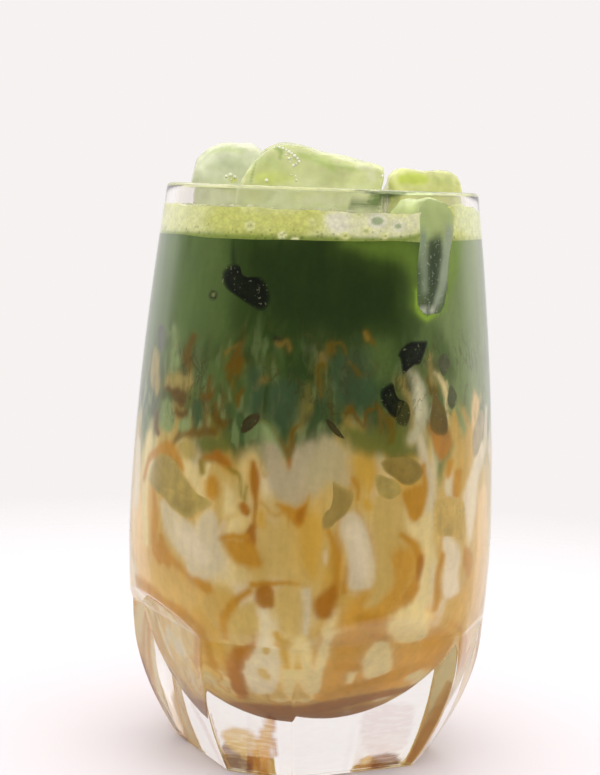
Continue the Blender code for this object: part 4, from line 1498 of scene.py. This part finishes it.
# Painted shade: the froth's top, away from the wall, is painted in this darker tone and dimmed by the gain
# below, to make up for the strong light from above on it
FROTH_TOP = (190, 196, 140)
FROTH_TOP_GAIN = 0.86
FROTH_CLOUD = (160, 2.2)
FROTH_WAVER = 0.0001
FROTH_FOOT = (0.1208, 0.1188)

FROTH_MARKS = (
    ("pale left part", FROTH_PALE, 8, ((160, 206), (206, 206), (212, 222), (200, 234), (160, 230))),
    ("yellow cells", FROTH, 8, ((218, 210), (330, 214), (332, 230), (218, 230))),
    ("white mass", FROTH_WHITE, 4, ((326, 216), (340, 212), (352, 214), (356, 226), (346, 234),
        (330, 230))),
    ("pale right part", (226, 228, 186), 5, ((350, 208), (372, 204), (400, 212), (422, 206), (422, 228),
        (400, 238), (366, 240), (350, 232))),
    ("green foot", FROTH_LOW, 2, ((162, 234, 2), (250, 238, 4), (330, 240, 5), (400, 240, 4),
        (425, 234, 2))),
    ("pale blob at the right", (218, 226, 166), 4, ((456, 204), (482, 206), (486, 232), (470, 236),
        (458, 224))),
)
BUBBLE_CORNERS = 9
BUBBLE_RIM = 2.2
# Bubbles that lie against the wall: x, y, half width, half height, how dark the hole is
WALL_BUBBLES = (
    (377.5, 221.0, 8.0, 6.0, 1.0), (398.0, 226.5, 5.0, 4.5, 0.9), (358.0, 214.5, 3.5, 2.5, 0.5),
        (366.0, 231.0, 4.0, 3.0, 0.4),
    (384.0, 236.0, 3.0, 2.0, 0.3), (250.0, 226.0, 4.0, 3.5, 0.35), (282.0, 235.0, 3.0, 2.5, 0.5),
        (295.0, 240.0, 2.5, 2.0, 0.5),
    (345.0, 236.0, 3.5, 2.5, 0.2), (312.0, 222.0, 3.5, 3.0, 0.2), (401.0, 208.0, 11.0, 8.0, 0.35),
)


def bubble_marks():
    """A pale ring with a darker hole for each bubble at the wall."""
    found = []
    for x, y, wide, high, dark in WALL_BUBBLES:
        turns = [2 * math.pi * i / BUBBLE_CORNERS for i in range(BUBBLE_CORNERS + 1)]
        ring = tuple((x + wide * math.sin(t), y + high * math.cos(t), BUBBLE_RIM) for t in turns)
        hole = tuple((x + 0.8 * wide * math.sin(t), y + 0.8 * high * math.cos(t)) for t in turns[:-1])
        tone = tuple(a + dark * (b - a) for a, b in zip(FROTH, HOLE_GREEN))
        edge = tuple(a + (0.1 + 0.9 * dark) * (b - a) for a, b in zip(FROTH, FROTH_WHITE))
        found += [("hole", tone, 1.0, hole), ("ring", edge, 0.8, ring)]
    return tuple(found)


def froth_colours(points, marks):
    broad = noise_over(points, *FROTH_CLOUD)
    colours = mix(even(FROTH, points), linear(FROTH_PALE), soft_step(-0.1, 0.35, broad[:, 0]))
    low = soft_step(*FROTH_FOOT, points[:, 2] + 0.0008 * broad[:, 1])
    colours = mix(colours, linear(FROTH_LOW), 0.8 * low)
    canvas = Canvas(azimuth_of(points), way_up(points), broad[:, :2] * FROTH_WAVER)
    canvas.colour = colours.copy()
    lay_marks(canvas, marks)
    radius = np.hypot(points[:, 0], points[:, 1])
    at_wall = soft_step(0.001, 0.0004, cavity_radius(points[:, 2]) - radius)
    # Painted shade on the froth's top, away from the wall
    colours = mix(colours, linear(FROTH_TOP), 0.7)
    return mix(colours * FROTH_TOP_GAIN, canvas.colour * FROTH_GAIN, at_wall)


# How many places are tried for a bubble on top of the froth, how far out, and how large they get
BUBBLE_COUNT = 420
BUBBLE_SEED = 7
BUBBLES_REACH = 0.0325
SMALLEST_BUBBLE = 0.00025
BUBBLE_GROWTH = 0.0011
DOWN = Vector((0, 0, -1))


def add_bubbles(froth):
    """Small domes on top of the froth, fewer large ones and many small ones, kept off the ice."""
    depsgraph = bpy.context.evaluated_depsgraph_get()
    tree = BVHTree.FromObject(froth, depsgraph)
    ice = [BVHTree.FromObject(bpy.data.objects[name + "_clear"], depsgraph) for name in ICE]
    random = np.random.default_rng(BUBBLE_SEED)
    bm = bmesh.new()
    for _ in range(BUBBLE_COUNT):
        share, azimuth, size = random.random(3)
        away = math.sqrt(share) * BUBBLES_REACH
        radius = SMALLEST_BUBBLE + BUBBLE_GROWTH * size**4
        angle = 2 * math.pi * azimuth
        above = Vector((away * math.sin(angle), -away * math.cos(angle), 0.15))
        hit, normal, _, _ = tree.ray_cast(above, DOWN)
        if hit is None or normal.z < 0.7 or hit.z < FOAM_LEVEL - 0.003:
            continue
        if any(cube.ray_cast(above, DOWN)[0] or cube.find_nearest(hit)[3] < radius for cube in ice):
            continue
        if math.hypot(hit.x, hit.y) + radius > float(cavity_radius(hit.z)):
            continue
        place = Matrix.Translation(hit - Vector((0, 0, 0.25 * radius)))
        bmesh.ops.create_icosphere(bm, subdivisions=2, radius=radius, matrix=place)
    ob = shaped(bm, "froth_bubbles")
    ob.data.materials.append(bubble_material())
    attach(ob, "root")


# Rings of a sunk face: size, how far past the wall's inside, and share of the ice's own colour
SUNK_ICE_RINGS = (
    (1.00, -0.00015, 0.0), (0.98, 0.00002, 0.06), (0.94, 0.00004, 0.30), (0.89, 0.00005, 0.66),
    (0.82, 0.00006, 0.90), (0.7, 0.00006, 1.0), (0.5, 0.00006, 0.94), (0.25, 0.00006, 0.88),
        (0.0, 0.00006, 0.86))
SUNK_ICE_BACK = 0.0006
SUNK_ICE_CLOUD = ((420, 420, 300), 1.9)
SUNK_ICE_CLOUDED = 0.32


def add_sunk_ice(sight, marks):
    """Faces of sunk cubes at the wall, as thin pillows whose rims melt into the drink's colours."""
    verts, faces, own, shares = [], [], [], []

    def put(azimuth, way, lift, colour, share):
        z = float(wall_height(way / ACROSS))
        radius = float(cavity_radius(z, REACH + lift))
        verts.append((radius * math.sin(azimuth), -radius * math.cos(azimuth), z))
        own.append(colour)
        shares.append(share)

    for _, colour, points in ICE_MARKS:
        outline = np.array([sight.on_drink(*p) for p in rounded(points, True)])
        middle = outline.mean(axis=0)
        count = len(outline)
        for turn in (0.0, math.pi):
            start = len(verts)
            for size, lift, share in SUNK_ICE_RINGS[:-1]:
                for azimuth, way in middle + size * (outline - middle):
                    put(azimuth + turn, way, lift, colour, share)
            put(middle[0] + turn, middle[1], SUNK_ICE_RINGS[-1][1], colour, 1.0)
            put(middle[0] + turn, middle[1], -SUNK_ICE_BACK, colour, 1.0)
            for row in range(len(SUNK_ICE_RINGS) - 2):
                low = start + row * count
                for i in range(count):
                    j = (i + 1) % count
                    faces.append((low + i, low + j, low + count + j, low + count + i))
            last = start + (len(SUNK_ICE_RINGS) - 2) * count
            front, back = len(verts) - 2, len(verts) - 1
            faces += [(last + i, last + (i + 1) % count, front) for i in range(count)]
            faces += [(start + (i + 1) % count, start + i, back) for i in range(count)]
    ob = add_mesh("sunk_ice", verts, faces)
    bm = bmesh.new()
    bm.from_mesh(ob.data)
    bmesh.ops.recalc_face_normals(bm, faces=bm.faces)
    bm.to_mesh(ob.data)
    bm.free()
    ob.data.materials.append(drink_material("ice_in_the_drink", 900.0, 0.06, 0.45))
    points = np.array(verts)
    cloud = noise_over(points, *SUNK_ICE_CLOUD)
    deep = np.array([linear(colour) for colour in own]) * paint_gain(points[:, 2])
    deep *= (1 + SUNK_ICE_CLOUDED * cloud[:, 0])[:, None]
    write_colours(ob, mix(drink_colours(points, marks), deep, np.array(shares)), stirred=False)
    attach(ob, "root")


# Studio

BACKDROP = (0.922, 0.888, 0.880)
# Brightness low down and high up: of the light on surfaces, and of what shows through glass
SURFACE_LIGHT = (1.10, 1.95)
THROUGH_LIGHT = (0.93, 1.12)
# Sines of the heights between which low turns into high
HIGH = (0.25, 0.65)
# Brightness of what is mirrored, round the horizon from the viewer's side at -1 to the far side at 1
RING_LIGHT = ((-0.60, 0.04), (0.00, 0.40), (0.31, 0.60), (0.54, 1.50), (0.80, 1.30), (0.95, 0.93))
MOST_LIGHT = 2.0
MIRRORED_TOP = 2.3
LIGHT_TINT = (1.0, 0.968, 0.958)
FLOOR_COLOUR = (0.650, 0.625, 0.655)
FLOOR_DARK = (0.03, 0.03, 0.03)
FLOOR_RADIUS = 3
FLOOR_SIDES = 96
FLOOR_GAP = 0.0001
# Where along Y the dark front ends, and how far out the floor fades
FLOOR_FRONT = (-0.12, -0.06)
FLOOR_FADE = (0.14, 0.34)


def add_studio():
    """A pale floor in a bright room, with more light from the sides and above than from the front."""
    world = bpy.data.worlds.new("studio")
    bpy.context.scene.world = world
    world.use_nodes = True
    tree = world.node_tree

    def add(kind, operation, *inputs):
        node = tree.nodes.new(kind)
        if operation:
            node.operation = operation
        for socket, value in zip(node.inputs, inputs):
            if isinstance(value, bpy.types.NodeSocket):
                tree.links.new(value, socket)
            else:
                socket.default_value = value
        return node

    def ramp(source, low, high, start, end):
        node = add("ShaderNodeMapRange", None, source, low, high, start, end)
        node.interpolation_type = "SMOOTHSTEP"
        return node.outputs["Result"]

    def blend(factor, low, high):
        node = tree.nodes.new("ShaderNodeMix")
        for key, value in (("Factor", factor), ("A", low), ("B", high)):
            if isinstance(value, bpy.types.NodeSocket):
                tree.links.new(value, node.inputs[key])
            else:
                node.inputs[key].default_value = value
        return node.outputs["Result"]

    way = add("ShaderNodeTexCoord", None).outputs["Generated"]
    axes = add("ShaderNodeSeparateXYZ", None, way).outputs
    ring = tree.nodes.new("ShaderNodeValToRGB")
    stops = ring.color_ramp.elements
    for place, level in RING_LIGHT[2:]:
        stops.new((place + 1) / 2)
    for stop, (place, level) in zip(stops, RING_LIGHT):
        stop.position = (place + 1) / 2
        stop.color = (level / MOST_LIGHT, level / MOST_LIGHT, level / MOST_LIGHT, 1.0)
    tree.links.new(add("ShaderNodeMath", "MULTIPLY_ADD", axes["Y"], 0.5, 0.5).outputs[0], ring.inputs[0])
    ahead = add("ShaderNodeMath", "MULTIPLY", ring.outputs[0], MOST_LIGHT).outputs[0]
    above = ramp(axes["Z"], *HIGH, 0.0, 1.0)
    paths = add("ShaderNodeLightPath", None).outputs
    unscattered = add("ShaderNodeMath", "LESS_THAN", paths["Diffuse Depth"], 0.5).outputs[0]
    through = add("ShaderNodeMath", "MULTIPLY", paths["Is Transmission Ray"], unscattered).outputs[0]
    mirrored = add("ShaderNodeMath", "SUBTRACT", paths["Is Glossy Ray"], paths["Is Transmission Ray"])
    bounced = add("ShaderNodeMath", "GREATER_THAN", mirrored.outputs[0], 0.5).outputs[0]
    level = blend(through, blend(above, *SURFACE_LIGHT), blend(above, *THROUGH_LIGHT))
    level = blend(bounced, level, blend(above, ahead, MIRRORED_TOP))
    tinted = add("ShaderNodeVectorMath", "SCALE", LIGHT_TINT)
    tree.links.new(level, tinted.inputs["Scale"])
    seen = paths["Is Camera Ray"]
    colour = tree.nodes.new("ShaderNodeMix")
    colour.data_type = "RGBA"
    colour.inputs[7].default_value = (*BACKDROP, 1.0)
    tree.links.new(seen, colour.inputs["Factor"])
    tree.links.new(tinted.outputs[0], colour.inputs[6])
    tree.links.new(colour.outputs[2], tree.nodes["Background"].inputs["Color"])


def add_floor():
    """A disc that fades out into the room. Its front is dark where the glass mirrors it."""
    azimuth = np.linspace(0, 2 * math.pi, FLOOR_SIDES, endpoint=False)
    verts = [(0.0, 0.0, 0.0)]
    verts += [(FLOOR_RADIUS * math.sin(a), -FLOOR_RADIUS * math.cos(a), 0.0) for a in azimuth]
    faces = [(0, 1 + i, 1 + (i + 1) % FLOOR_SIDES) for i in range(FLOOR_SIDES)]
    floor = add_mesh("floor", verts, faces, smooth=False)
    floor.location.z = -FLOOR_GAP
    nodes = Nodes("pale_floor")
    nodes.set(Roughness=0.6, Specular_IOR_Level=0.2)
    parts = nodes.add("ShaderNodeSeparateXYZ")
    nodes.link(nodes.place(), parts.inputs[0])
    ahead = nodes.span(parts.outputs["Y"], *FLOOR_FRONT, 1.0, 0.0)
    paths = nodes.add("ShaderNodeLightPath").outputs
    not_through = nodes.span(paths["Is Transmission Ray"], 0.0, 1.0, 1.0, 0.0)
    mirrored = nodes.times(paths["Is Glossy Ray"], not_through)
    dark = nodes.blend(nodes.times(ahead, mirrored), FLOOR_COLOUR, FLOOR_DARK)
    nodes.into("Base Color", dark)
    clear = nodes.add("ShaderNodeBsdfTransparent")
    length = nodes.add("ShaderNodeVectorMath", operation="LENGTH")
    nodes.link(nodes.place(), length.inputs[0])
    far = nodes.span(length.outputs["Value"], *FLOOR_FADE, 0.0, 1.0)
    both = nodes.add("ShaderNodeMixShader")
    nodes.link(far, both.inputs[0])
    nodes.link(nodes.shader.outputs[0], both.inputs[1])
    nodes.link(clear.outputs[0], both.inputs[2])
    nodes.link(both.outputs[0], nodes.output.inputs["Surface"])
    floor.data.materials.append(nodes.material)


def set_view():
    scene = bpy.context.scene
    scene.view_settings.view_transform = "Standard"
    scene.cycles.use_denoising = True
    scene.cycles.max_bounces = 24
    scene.cycles.transmission_bounces = 20


def main():
    noise.seed_set(NOISE_SEED)
    add_camera()
    add_studio()
    add_floor()
    set_view()
    tumbler = add_tumbler()
    sight = Sight(tumbler)
    rooms = add_ice(ice_material(), sight)
    marks = placed_marks(sight, TEA_MARKS + MILK_MARKS + BAND_MARKS)
    froth = add_drink(marks, placed_marks(sight, FROTH_MARKS + bubble_marks()), rooms)
    for room in rooms:
        bpy.data.objects.remove(room)
    add_sunk_ice(sight, marks)
    add_bubbles(froth)
    add_beads(sight)


main()
